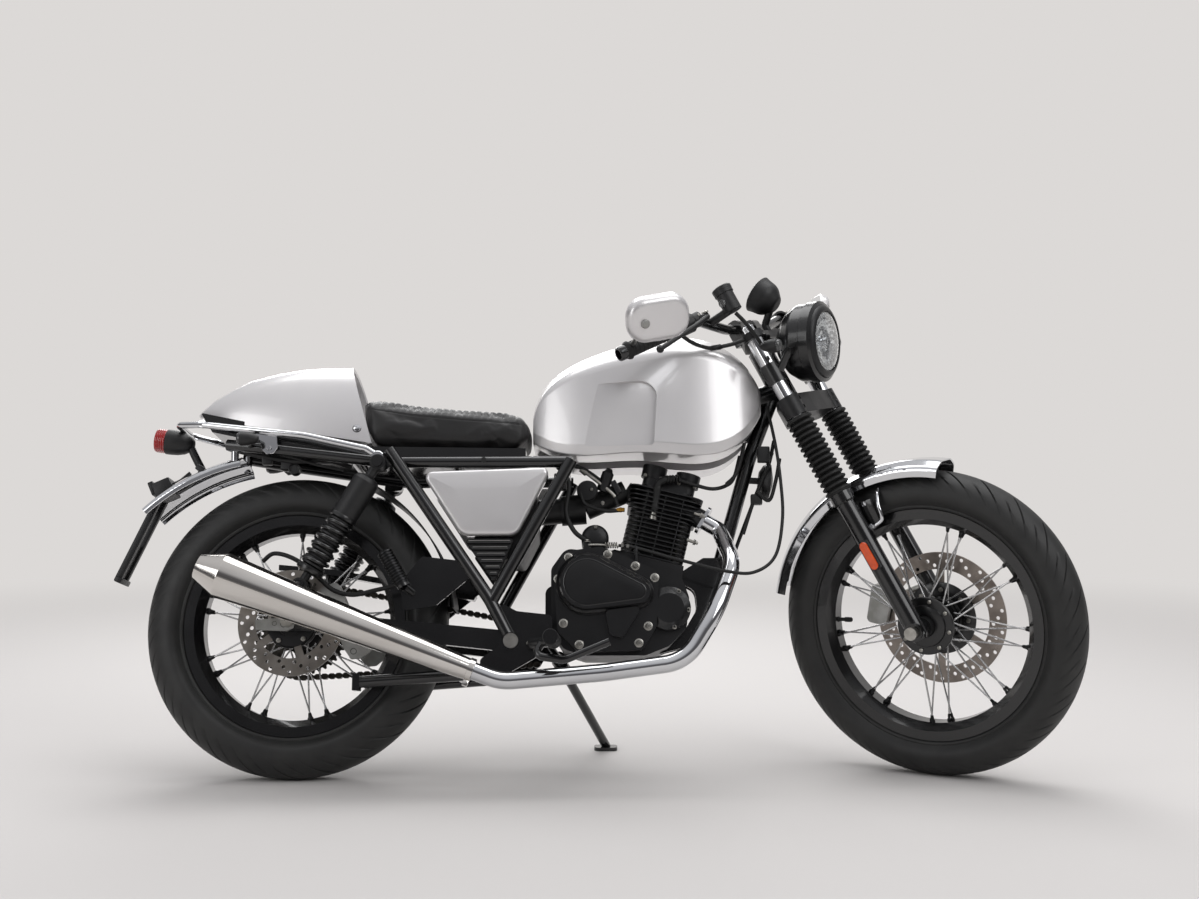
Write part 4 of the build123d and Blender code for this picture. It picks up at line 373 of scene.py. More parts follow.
    # Smoked polycarbonate over a dark bowl: near black under a sharp gleam
    SMOKED_LENS = Finish(
        "smoked_polycarbonate_lens", "2a2a2c", "232325", 0.08, 0.0, 30.0, 0.0, 200, 0.02, coat=0.6
    )
    # Vacuum-coated reflector bowl and mirror glass: near mirror
    REFLECTOR = Finish("vacuum_coated_reflector", "f0f2f4", "e6e8ea", 0.08, 1.0, 9.0, 0.02, 60, 0.03)
    # Moulded prisms round the reflector, silver with painted reflections: noise drifts them between bright
    # facets and dark ones that stand for the dark room they mirror
    PRISM_REFLECTIONS = Finish("prisms_with_painted_reflections", "eef0f2", "3c3f42", 0.10, 1.0, 5.0, 0.7, 7, 0.04)
    # Moulded red lens over its prisms: deep red and glossy
    RED_LENS = Finish("moulded_red_lens", "a8090b", "8c0607", 0.12, 0.0, 3.0, 0.10, 30, 0.04, coat=0.5)
    # Moulded amber lens: warm orange and glossy
    AMBER_LENS = Finish("moulded_amber_lens", "e8560c", "cc430a", 0.14, 0.0, 3.0, 0.10, 20, 0.04, coat=0.5)

    def material(self) -> bpy.types.Material:
        """The finish's Blender material."""
        return self.value.material()


NODE_FINISHES: dict[Paint, tuple[str, ...]] = {
    Paint.SILVER_BASECOAT: ("fuel_tank", "tail_cowl", "bar_end_mirrors", "side_panels"),
    Paint.BLACK_ENAMEL: (
        "front_rim", "rear_rim", "fork_lower_legs", "handlebar", "head_and_backbone", "down_tube",
        "frame_stays", "subframe", "swingarm", "foot_controls", "side_stand_bracket", "side_stand",
        "centre_stand",
    ),
    Paint.BLACK_CASTING: ("crankcase", "cylinder_barrel", "cylinder_head", "yokes"),
    Paint.BLACK_COVER: ("engine_covers", "headlamp_shell"),
    Paint.CHROME: (
        "fork_tubes", "front_fender", "rear_fender", "grab_rail", "exhaust_header", "fuel_cap"
    ),
    Paint.STAINLESS: ("silencer",), Paint.ZINC_STEEL: ("front_axle", "frame_spindles"),
    Paint.DRAWN_STEEL: ("front_spokes", "rear_spokes"),
    Paint.BLASTED_ALUMINIUM: ("front_caliper", "rear_caliper"),
    Paint.OILED_STEEL: ("rear_sprocket", "chain"), Paint.TYRE_RUBBER: ("front_tyre", "rear_tyre"),
    Paint.MOULDED_RUBBER: ("fork_gaiters", "bar_grips"),
    Paint.BLACK_ABS: (
        "bar_controls", "gauge", "front_indicators", "rear_hugger", "tail_lamp", "plate_bracket",
        "intake", "horn", "front_hub", "rear_hub", "rear_shocks",
    ),
    Paint.SEAT_VINYL: ("seat",), Paint.FRONT_ROTOR: ("front_brake_disc",),
    Paint.REAR_ROTOR: ("rear_brake_disc",), Paint.CLEAR_LENS: ("headlamp_lens",),
}


def dress(piece: Piece, paint: Paint) -> None:
    """Gives a piece one finish all over."""
    piece.data.materials.clear()
    piece.data.materials.append(paint.material())


# Mesh making


def seat(origin: Point, direction: Point, ahead: Point = (1, 0, 0)) -> Matrix:
    """Matrix that stands a piece's Z axis along a direction.

    Args:
        origin: Where the piece's own origin goes.
        direction: Where its Z axis points.
        ahead: Roughly where its X axis points.

    Returns:
        The placing matrix.
    """
    up = Vector(direction).normalized()
    side = up.cross(Vector(ahead))
    if side.length < 1e-4:
        side = up.cross(Vector((0, 0, 1)))
    side.normalize()
    front = side.cross(up)
    turn = Matrix((front, side, up)).transposed().to_4x4()
    return Matrix.Translation(origin) @ turn


def laid(spot: Point, tilt: float = 0.0) -> Matrix:
    """Matrix that lays a piece at a spot, tilted by so many degrees about the line across the motorcycle."""
    return Matrix.Translation(spot) @ Matrix.Rotation(radians(tilt), 4, "Y")


def smooth_path(points: Sequence[Point], steps: int = 6) -> list[Vector]:
    """Points along a smooth curve through the given ones.

    Args:
        points: Points that the curve passes through.
        steps: Steps between two of them.

    Returns:
        The finer list of points.
    """
    p = [Vector(point) for point in points]
    if len(p) < 3:
        return p
    ends = [p[0] * 2 - p[1], *p, p[-1] * 2 - p[-2]]
    made = []
    for a, b, c, d in zip(ends, ends[1:], ends[2:], ends[3:]):
        slope, bend, twist = c - a, 2 * a - 5 * b + 4 * c - d, 3 * b - a - 3 * c + d
        for i in range(steps):
            t = i / steps
            made.append(0.5 * (2 * b + slope * t + bend * t * t + twist * t ** 3))
    return [*made, p[-1]]


def rounded(width: float, height: float, corner: float, steps: int = 8) -> list[Pair]:
    """Outline of a rectangle with round corners, centred on the origin.

    Args:
        width: Size along X.
        height: Size along Y.
        corner: Radius of its corners.
        steps: Steps round each corner.

    Returns:
        Points of the outline.
    """
    corner = min(corner, width / 2 - 0.01, height / 2 - 0.01)
    x, y = width / 2 - corner, height / 2 - corner
    outline = []
    for quarter, (sx, sy) in enumerate(((1, 1), (-1, 1), (-1, -1), (1, -1))):
        for i in range(steps + 1):
            a = pi / 2 * (quarter + i / steps)
            outline.append((sx * x + corner * cos(a), sy * y + corner * sin(a)))
    return outline


def softened(outline: Outline, corners: Sequence[float], inset: float, steps: int = 8) -> list[Pair]:
    """Outline moved inwards, each corner rounded by its own radius.

    Args:
        outline: Corners of a convex outline.
        corners: Radius of each corner.
        inset: How far each side moves in.
        steps: Steps round each corner.

    Returns:
        Points of the rounded outline.
    """
    points = [Vector(point) for point in outline]
    after = points[1:] + points[:1]
    sign = 1 if sum(p.x * q.y - q.x * p.y for p, q in zip(points, after)) > 0 else -1
    made = []
    for i, corner in enumerate(points):
        back, ahead = (points[i - 1] - corner).normalized(), (after[i] - corner).normalized()
        half = back.angle(ahead) / 2
        bisector = (back + ahead).normalized()
        spot = corner + bisector * (inset / sin(half))
        radius = max(corners[i] - inset, 1.0)
        centre = spot + bisector * (radius / sin(half))
        first = Vector((-back.y, back.x)) * -sign
        last = Vector((-ahead.y, ahead.x)) * sign
        turn = (-first).angle_signed(-last)
        for k in range(steps + 1):
            way = (-first).copy()
            way.rotate(Matrix.Rotation(-turn * k / steps, 2))
            made.append((centre.x + way.x * radius, centre.y + way.y * radius))
    return made


class Bench:
    """Builds one mesh in a body's own millimetres."""

    def __init__(self, matrix: Matrix) -> None:
        """Starts an empty mesh that matrix places in the row frame."""
        self.matrix = matrix
        self.mesh = bmesh.new()

    def row(self, points: Iterable[Point], place: Matrix = Matrix()) -> Row:
        """Vertices at the placed points."""
        return [self.mesh.verts.new(place @ Vector(point)) for point in points]

    def ring(self, place: Matrix, radius: float, height: float, sides: int) -> Row:
        """Ring of vertices about the placed Z axis."""
        turns = [tau * i / sides for i in range(sides)]
        return self.row(((radius * cos(a), radius * sin(a), height) for a in turns), place)

    def skin(self, rows: Sequence[Row], around: bool = True, caps: bool = True) -> None:
        """Joins rows of vertices with quads.

        Args:
            rows: Rows of equally many vertices.
            around: Whether each row closes on itself.
            caps: Whether the first and last row are filled.
        """
        count = len(rows[0])
        for low, high in zip(rows, rows[1:]):
            for i in range(count if around else count - 1):
                j = (i + 1) % count
                self.mesh.faces.new((low[i], low[j], high[j], high[i]))
        if caps and around:
            self.mesh.faces.new(rows[0][::-1])
            self.mesh.faces.new(rows[-1])

    def lathe(self, place: Matrix, profile: Outline, sides: int = 32, closed: bool = False) -> None:
        """Turns a profile about the placed Z axis.

        Args:
            place: Seat of the turned form.
            profile: Radius and height of each point.
            sides: Sides of the turned form.
            closed: Whether the last point joins the first, so that the form is a ring.
        """
        rows = [self.ring(place, radius, height, sides) for radius, height in profile]
        self.skin(rows + rows[:1] if closed else rows, caps=not closed)

    def tube(self, points: Sequence[Point], radius: float, sides: int = 10, steps: int = 6) -> None:
        """Round tube along a smooth curve.

        Args:
            points: Points that its middle line passes through.
            radius: Radius of the tube.
            sides: Sides round the tube.
            steps: Steps between two points.
        """
        path = smooth_path(points, steps)
        turns = [tau * k / sides for k in range(sides)]
        side = Vector((0, 0, 1))
        rows = []
        for i, point in enumerate(path):
            ahead = (path[min(i + 1, len(path) - 1)] - path[max(i - 1, 0)]).normalized()
            side = side - ahead * side.dot(ahead)
            if side.length < 1e-3:
                side = ahead.orthogonal()
            side.normalize()
            other = ahead.cross(side)
            rows.append(self.row(point + (side * cos(a) + other * sin(a)) * radius for a in turns))
        self.skin(rows)

    def prism(self, place: Matrix, outline: Outline, low: float, high: float, chamfer: float = 0.0) -> None:
        """Upright plate.

        Args:
            place: Seat of the plate.
            outline: Its corners.
            low: Height of its foot.
            high: Height of its top.
            chamfer: How much of its top edge is cut off.
        """
        xs, ys = zip(*outline)
        middle = Vector((sum(xs) / len(xs), sum(ys) / len(ys)))
        levels = [(0, low), (0, high - chamfer)]
        if chamfer:
            levels.append((chamfer, high))
        rows = []
        for inset, z in levels:
            row = []
            for x, y in outline:
                out = Vector((x, y)) - middle
                spot = middle + out * max(0.0, 1 - inset / max(out.length, 1e-6))
                row.append((spot.x, spot.y, z))
            rows.append(self.row(row, place))
        self.skin(rows)

    def bolt(self, origin: Point, direction: Point, size: float = 6.0) -> None:
        """Hexagon bolt head on its washer.

        Args:
            origin: Where the washer lies.
            direction: Where the head points.
            size: Size of its thread.
        """
        place = seat(origin, direction)
        self.lathe(place, [(size, 0), (size, size * 0.2), (size * 0.5, size * 0.22)], 20)
        shape = ((0.86, 0), (0.86, 0.5), (0.74, 0.6))
        self.skin([self.ring(place, size * wide, size * 0.2 + size * tall, 6) for wide, tall in shape])

    def cap_screw(self, origin: Point, direction: Point, size: float = 6.0) -> None:
        """Domed screw head with a round socket.

        Args:
            origin: Where the head lies.
            direction: Where it points.
            size: Size of its thread.
        """
        place = seat(origin, direction)
        shape = ((0.85, 0), (0.85, 0.45), (0.6, 0.72), (0.42, 0.74), (0.4, 0.3))
        self.skin([self.ring(place, size * wide, size * tall, 18) for wide, tall in shape])

    def block(self, place: Matrix, size: Point, edge: float = 1.0) -> None:
        """Block with broken edges, centred on the placed origin.

        Args:
            place: Seat of the block.
            size: Its three sizes.
            edge: How much of each edge is rounded off.
        """
        made = bmesh.ops.create_cube(self.mesh, size=1.0, matrix=place @ Matrix.Diagonal((*size, 1)))
        edges = {e for v in made["verts"] for e in v.link_edges}
        bmesh.ops.bevel(self.mesh, geom=list(edges), offset=edge, segments=2, affect="EDGES", profile=0.6)

    def done(self, name: str, body: Body, paint: Paint, crease: float = 38.0) -> Piece:
        """Places the mesh in the row frame, finishes it and lets it ride on its body.

        Args:
            name: Name of the piece.
            body: Body that it moves with.
            paint: Its finish.
            crease: Angle in degrees above which an edge stays sharp.

        Returns:
            The finished piece.
        """
        self.mesh.transform(self.matrix)
        bmesh.ops.recalc_face_normals(self.mesh, faces=self.mesh.faces)
        data = bpy.data.meshes.new(name)
        self.mesh.to_mesh(data)
        self.mesh.free()
        data.polygons.foreach_set("use_smooth", [True] * len(data.polygons))
        data.set_sharp_from_angle(angle=radians(crease))
        piece = bpy.data.objects.new(name, data)
        bpy.context.scene.collection.objects.link(piece)
        dress(piece, paint)
        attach(piece, body.value)
        LOG.info("%s: %d faces, rides on %s", name, len(data.polygons), body.value)
        return piece


# Wheels


@dataclass
class Tyre:
    """Tread, shoulders and sidewalls of one tyre, in place of its plain solid."""

    node: str
    body: Body
    place: Matrix
    radius: float
    crown: float
    rim_seat: float
    bead_half: float
    pitches: int = 54
    groove_depth: float = 6.0
    sweep: float = 15.0
    rim_rise: float = 12.0
    lip: Pairs = ((0, -1), (3.5, 1.5), (6.5, 2.5), (8, 5.5), (7.2, 8.5))
    shoulder_angle: float = 11.0
    tread_angle: float = 20.0
    tread_steps: int = 16
    columns: tuple[float, ...] = (0, 0.04, 0.14, 0.18, 0.45, 0.73)
    groove_end: float = 0.93
    short_groove_end: float = 0.52

    def section(self) -> list[Spot]:
        """Half section of the tyre from bead to crown.

        Returns:
            Across, radius and the share of the way from shoulder to crown, for each point.
        """
        belt = self.radius - self.crown
        edge = self.rim_seat + self.rim_rise
        points = [(self.bead_half, self.rim_seat, 0)]
        points += [(self.bead_half + out, edge + rise, 0) for out, rise in self.lip]
        start, low, _ = points[-1]
        for share in (0.35, 0.7, 1):
            across = start + (self.crown - start) * sin(share * pi / 2)
            points.append((across, low + (belt + 2 - low) * share, 0.0))
        angles = [(radians(self.shoulder_angle), 0.0)]
        for step in range(self.tread_steps + 1):
            share = step / self.tread_steps
            turn = self.tread_angle + (90 - self.tread_angle) * share
            angles.append((radians(turn), max(share, 0.001)))
        points += [(self.crown * cos(a), belt + self.crown * sin(a), share) for a, share in angles]
        return points

    def depth(self, share: float, column: int, short: bool) -> float:
        """Depth of the groove.

        Args:
            share: Share of the way from shoulder to crown.
            column: Which of the columns of a pitch.
            short: Whether this pitch has the short groove.

        Returns:
            How far the tread lies under its full radius.
        """
        if column not in (1, 2) or share <= 0:
            return 0.0
        end = self.short_groove_end if short else self.groove_end
        return self.groove_depth * min(1.0, share / 0.06, max(0.0, (end - share) / 0.05))

    def build(self) -> None:
        """Makes the tyre from rings sheared along its curved grooves."""
        bench = Bench(self.place)
        half = self.section()
        rows = [(-y, r, s) for y, r, s in half] + [(y, r, s) for y, r, s in reversed(half[:-1])]
        pitch = tau / self.pitches
        rings = []
        for y, radius, share in rows:
            trail = radians(self.sweep) * (1 - share) ** 1.15 if share else radians(self.sweep)
            ring = []
            for k in range(self.pitches):
                for column, part in enumerate(self.columns):
                    angle = (k + part) * pitch - trail + (pitch / 2 if y > 0 else 0.0)
                    deep = radius - self.depth(share, column, k % 2 == 1)
                    ring.append((deep * cos(angle), y, deep * sin(angle)))
            rings.append(bench.row(ring))
        bench.skin(rings, caps=False)
        bench.skin([rings[-1], rings[0]], caps=False)
        piece = bench.done(f"{self.node}_tread", self.body, Paint.TYRE_RUBBER, 40)
        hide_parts(self.node)


@dataclass
class WheelTrim:
    """Spoke nipples, tyre valve, disc carrier and hub screws of one wheel."""

    name: str
    body: Body
    place: Matrix
    rim_seat: float
    flange_y: float
    disc_y: float
    carrier_radius: float
    boss_radius: float
    screws: int
    valve_angle: float
    rim_depth: float = 22.0
    spokes_per_side: int = 18
    stagger: float = 3.2
    sweep: float = 62.0
    hub_end: float = 38.0
    half_disc: float = 2.3
    nipple: Pairs = ((2, 0), (2.9, 1), (3.1, 9), (4.3, 10.5), (4.3, 14))
    elbow: Pairs = ((2.6, 0), (2.6, 4), (1.9, 7))
    stem: Pairs = (
        (6, 0), (6, 3), (4.2, 5), (3.8, 16), (5.2, 17), (5.4, 20), (5, 21), (5.4, 22), (5.2, 31), (3.6, 33)
    )
    plate: Pairs = ((23, 0), (60, 0), (60, 2.4), (58, 4.4), (44, 5), (42, 9), (30, 12), (23, 12))
    plate_screws: float = 51.5

    def around(self, angle: float, radius: float, y: float) -> Vector:
        """Point at an angle about the axle."""
        return Vector((radius * cos(angle), y, radius * sin(angle)))

    def nipples(self) -> None:
        """Dark nipple on the rim end of every spoke, and the elbow at its hub end."""
        bench, elbows = Bench(self.place), Bench(self.place)
        rim_end = self.rim_seat - self.rim_depth + 6.0
        for side in (-1, 1):
            for index in range(self.spokes_per_side):
                lead = 1 if index % 2 else -1
                hub_angle = radians(index * 360 / self.spokes_per_side + (side - 1) * 5)
                rim_angle = hub_angle + lead * radians(self.sweep) / 2
                start = self.around(hub_angle, self.hub_end, side * (self.flange_y + lead * self.stagger))
                end = self.around(rim_angle, rim_end, side * (self.stagger + 2 + lead * self.stagger))
                along = (end - start).normalized()
                bench.lathe(seat(end - along * 7.0 - along * 13.0, along), self.nipple, 8)
                elbows.lathe(seat(start + along * 7.0, along), self.elbow, 8)
        bench.done(f"{self.name}_spoke_nipples", self.body, Paint.BLACK_OXIDE)
        elbows.done(f"{self.name}_spoke_elbows", self.body, Paint.DRAWN_STEEL)

    def valve(self) -> None:
        """Tyre valve with its knurled cap, standing in from the rim."""
        bench = Bench(self.place)
        out = self.around(radians(self.valve_angle), 1.0, 0.0)
        bench.lathe(seat(out * (self.rim_seat - self.rim_depth + 2), -out), self.stem, 14)
        bench.done(f"{self.name}_tyre_valve", self.body, Paint.MOULDED_RUBBER)

    def carrier(self) -> None:
        """Black carrier on both faces of the disc, with a ring of screws on each."""
        bench, heads = Bench(self.place), Bench(self.place)
        out = 1 if self.disc_y > 0 else -1
        hole, edge = self.boss_radius + 0.6, self.carrier_radius
        inner_face = self.disc_y - out * self.half_disc
        inside = [
            (hole, 0), (edge, 0), (edge, 2.4), (edge - 3, 4), (self.boss_radius + 9, 4),
            (self.boss_radius + 5, 9), (hole, 9),
        ]
        bench.lathe(seat((0, inner_face, 0), (0, -out, 0)), inside, 48, closed=True)
        outside = [(hole, 0), (edge - 2, 0), (edge - 4, 2.6), (hole, 2.6)]
        bench.lathe(seat((0, self.disc_y + out * self.half_disc, 0), (0, out, 0)), outside, 48, closed=True)
        for k in range(self.screws):
            spot = self.around(tau * (k + 0.3) / self.screws, (edge + self.boss_radius) / 2 + 3, 0.0)
            heads.cap_screw((spot.x, inner_face - out * 4, spot.z), (0, -out, 0))
            heads.cap_screw((spot.x, self.disc_y + out * 4.8, spot.z), (0, out, 0))
        bench.done(f"{self.name}_disc_carrier", self.body, Paint.BLACK_COVER)
        heads.done(f"{self.name}_disc_screws", self.body, Paint.ZINC_STEEL)

    def flange(self) -> None:
        """Black plate outside the far flange, with its ring of bright screws."""
        out = -1 if self.disc_y > 0 else 1
        bench, heads = Bench(self.place), Bench(self.place)
        face = self.flange_y + 6.2
        bench.lathe(seat((0, out * face, 0), (0, out, 0)), self.plate, 48, closed=True)
        for k in range(self.screws):
            spot = self.around(tau * (k + 0.1) / self.screws, self.plate_screws, out * (face + 4.6))
            heads.cap_screw(spot, (0, out, 0), 5.0)
        bench.done(f"{self.name}_hub_plate", self.body, Paint.BLACK_COVER)
        heads.done(f"{self.name}_hub_screws", self.body, Paint.ZINC_STEEL)

    def build(self) -> None:
        """Makes every piece of the trim."""
        self.nipples()
        self.valve()
        self.carrier()
        if self.name == "front":
            self.flange()


# Fork, bar and lamp


@dataclass
class ForkTrim:
    """Reflectors, clamp bolts and gaiter bands on the fork."""

    place: Matrix
    offset: float = PARKING.fork_offset
    spacing: float = 94.0
    reflector_height: float = 176.0
    reflector_half: float = 22.0
    reflector_radius: float = 8.5
    leg_radius: float = 20.5
    pinch_bolts: Pairs = ((513, 8), (534, 8), (696, 7))
    cap_height: float = 716.2
    cap: Pairs = ((12.5, 0), (12.5, 3), (11, 4.5), (6, 4.5), (5.5, 2))
    cap_hexagon: Pairs = ((7.5, 2), (7.5, 7.5), (6.6, 8.5))
    bands: Pairs = ((318.4, 26.6), (492, 25.2))
    band: Pairs = ((-3.6, 0), (0, 0), (0.8, 1.2), (0.8, 5.2), (0, 6.4), (-3.6, 6.4))

    def stadium(self, half: float, radius: float, steps: int = 10) -> list[Pair]:
        """Outline of a slot with round ends, long along its second axis.

        Args:
            half: Half the distance between the middles of its ends.
            radius: Radius of its ends.
            steps: Steps round each end.

        Returns:
            Points of the outline.
        """
        turns = [pi * i / steps for i in range(steps + 1)]
        top = [(radius * cos(a), half + radius * sin(a)) for a in turns]
        return top + [(-x, -y) for x, y in top]

    def reflectors(self) -> None:
        """Amber slot reflectors in black frames on the outside of both legs."""
        frames, lens = Bench(self.place), Bench(self.place)
        for side in (-1, 1):
            spot = (self.offset, side * (self.spacing + self.leg_radius + 3.9), self.reflector_height)
            at = seat(spot, (0, side, 0), (1, 0, 0))
            frames.prism(at, self.stadium(self.reflector_half, self.reflector_radius + 1.8), 0.0, 2.6, 0.6)
            lens.prism(at, self.stadium(self.reflector_half, self.reflector_radius), 2.4, 5.4, 1.2)
        frames.done("reflector_frames", Body.STEERING, Paint.BLACK_ABS)
        lens.done("fork_reflectors", Body.STEERING, Paint.AMBER_LENS)

    def clamp_bolts(self) -> None:
        """Pinch bolts of both yokes and of the axle clamps, and the fork caps."""
        bench, caps = Bench(self.place), Bench(self.place)
        for side in (-1, 1):
            for height, size in self.pinch_bolts:
                spot = (self.offset + 19.0, side * (self.spacing - 2), height)
                bench.cap_screw(spot, (1, side * 0.25, 0), size)
            at = seat((self.offset, side * self.spacing, self.cap_height), (0, 0, 1))
            caps.lathe(at, self.cap, 24)
            caps.skin([caps.ring(at, radius, height, 6) for radius, height in self.cap_hexagon])
            bench.bolt((self.offset - 12.0, side * (self.spacing + 21.5), -8.0), (0, side, 0))
        bench.done("fork_pinch_bolts", Body.STEERING, Paint.BLACK_OXIDE)
        caps.done("fork_cap_bolts", Body.STEERING, Paint.CHROME)

    def gaiter_bands(self) -> None:
        """Clips that hold each gaiter to its leg and yoke."""
        bench = Bench(self.place)
        for side in (-1, 1):
            for height, radius in self.bands:
                at = seat((self.offset, side * self.spacing, height), (0, 0, 1))
                bench.lathe(at, [(radius + out, rise) for out, rise in self.band], 36, closed=True)
        bench.done("gaiter_bands", Body.STEERING, Paint.MOULDED_RUBBER)

    def build(self) -> None:
        """Makes every piece of the trim."""
        self.reflectors()
        self.clamp_bolts()
        self.gaiter_bands()


@dataclass(frozen=True)
class Bar:
    """Where the grips lie on the handlebar, in the fork's own millimetres."""

    grip_start: Spot = (-104, -352, 758)
    grip_knee: Spot = (-4, -212, 766)

    def ends(self) -> Iterable[tuple[int, Vector, Vector]]:
        """Walks over both ends of the bar.

        Returns:
            Side, outer end of the grip and direction inwards along the bar, for each end.
        """
        for side in (1, -1):
            flip = Vector((1, side, 1))
            start = Vector(self.grip_start) * flip
            yield side, start, (Vector(self.grip_knee) * flip - start).normalized()


@dataclass
class BarTrim:
    """Grip ends, switch buttons, lever screws and reservoir fittings on the handlebar."""

    place: Matrix
    grip_length: float = 118.0
    reservoir: Spot = (58, -158, 750)
    grip_end: Pairs = ((12, 0), (19.5, 0), (19, 3), (15.5, 9), (12.5, 11))
    button: Pairs = ((5, 0), (5, 4), (4.2, 5))
    lid: Pairs = ((21.5, 0), (21.5, 6.5), (19, 8.5), (15, 8.5), (14.5, 7.5))
    window: Pairs = ((9, 0), (9, 2.4), (7.6, 3.2), (7, 2))

    def build(self) -> None:
        """Makes every piece of the trim."""
        rubber, dark, bright, red, glass = (Bench(self.place) for _ in range(5))
        for side, start, along in Bar().ends():
            rubber.lathe(seat(start + along * 2.4, -along), self.grip_end, 28)
            pod = start + along * (self.grip_length + 27.0)
            face = Vector((-0.5, -side * 0.25, 0.85)).normalized()
            dark.block(seat(pod + face * 20.5, face, along), (15, 9, 6), 1.5)
            (red if side > 0 else bright).lathe(seat(pod + face * 20.0 + along * 12.0, face), self.button, 18)
            dark.block(seat(pod - along * 10.0 + face * 20.0, face, along), (8, 12, 5), 1.2)
            perch = start + along * (self.grip_length + 54.0)
            bright.cap_screw(perch + Vector((30, 0, 0)), (0, 0, 1))
            for shift in (-5, 5):
                bright.cap_screw(perch + Vector((17, 0, 4)) + along * shift, (1, 0, 0.4), 4.0)
        x, y, z = self.reservoir
        dark.lathe(seat((x, y, z + 48.2), (0, 0, 1)), self.lid, 32)
        for spot in (-1, 1):
            bright.cap_screw((x + spot * 12, y, z + 55.5), (0, 0, 1), 3.5)
        glass.lathe(seat((x - 6, y - 17.6, z + 22), (-0.3, -1, 0)), self.window, 24)
        rubber.done("grip_ends", Body.STEERING, Paint.MOULDED_RUBBER)
        dark.done("switch_buttons", Body.STEERING, Paint.BLACK_ABS)
        bright.done("bar_fasteners", Body.STEERING, Paint.ZINC_STEEL)
        red.done("stop_switch", Body.STEERING, Paint.RED_LENS)
        glass.done("reservoir_window", Body.STEERING, Paint.CLEAR_LENS)


@dataclass
class Mirror:
    """Bar-end mirrors: painted shells with a bevelled back, glass, stalks and bar-end sockets."""

    place: Matrix
    centre: Spot = (6, -390, 770)
    across: Spot = (0.621, 0.75, -0.228)
    back: Spot = (0.556, -0.593, -0.582)
    rim: Spot = (132, 92, 40)
    shoulder: Pairs = ((1.2, -1), (0, 0), (0, 10), (2.4, 16), (6, 20), (11, 22.8), (18, 23.6), (40, 24))
    socket: Pairs = ((13, 0), (15, 1), (15, 20), (13.6, 22.4), (10.5, 22.4), (10, 12))
    stalk_radius: float = 5.2
    boss_cap: Pairs = ((9, 0), (9, 5), (7.6, 8), (3, 9.4))

    def shell(self, bench: Bench, at: Matrix) -> None:
        """Rounded shell from its glass rim over a soft shoulder to its flat back.

        Args:
            bench: Bench that gets the shell.
            at: Seat on the glass, its axis towards the back.
        """
        width, height, corner = self.rim
        rows = []
        for inset, rise in self.shoulder:
            outline = rounded(width - 2 * inset, height - 2 * inset, max(corner - inset, 4.0))
            rows.append(bench.row(((x, y, rise) for x, y in outline), at))
        bench.skin(rows)

    def build(self) -> None:
        """Makes both mirrors in place of their plain solids."""
        shells, glass, metal, sockets = (Bench(self.place) for _ in range(4))
        width, height, corner = self.rim
        for side, start, inward in Bar().ends():
            flip = Vector((1, side, 1))
            out = Vector(self.back) * flip
            at = seat(Vector(self.centre) * flip, out, Vector(self.across) * flip)
            self.shell(shells, at)
            pane = rounded(width - 7, height - 7, corner - 4)
            glass.prism(at @ Matrix.Rotation(pi, 4, "X"), pane, 0.6, 2.0, 0.5)
            along = -inward
            sockets.lathe(seat(start + along * 0.4, along), self.socket, 32)
            elbow = start + along * 9.0 + Vector((6, side * 22, 6))
            boss = at @ Vector((-34, -4 * side, 26))
            middle = (elbow + boss) / 2 + Vector((2, side * -7, -2))
            metal.tube([start + along * 11.0, elbow, middle, boss], self.stalk_radius, 14, 8)
            metal.lathe(seat(boss - out.normalized() * 4.0, out), self.boss_cap, 24)
            metal.cap_screw(elbow, (0.2, -side, -0.2), 5.0)
        piece = shells.done("mirror_shells", Body.STEERING, Paint.SILVER_BASECOAT, 50)
        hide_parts("bar_end_mirrors")
        glass.done("mirror_glass", Body.STEERING, Paint.REFLECTOR)
        metal.done("mirror_stalks", Body.STEERING, Paint.BLASTED_ALUMINIUM)
        sockets.done("mirror_sockets", Body.STEERING, Paint.BLACK_ENAMEL)


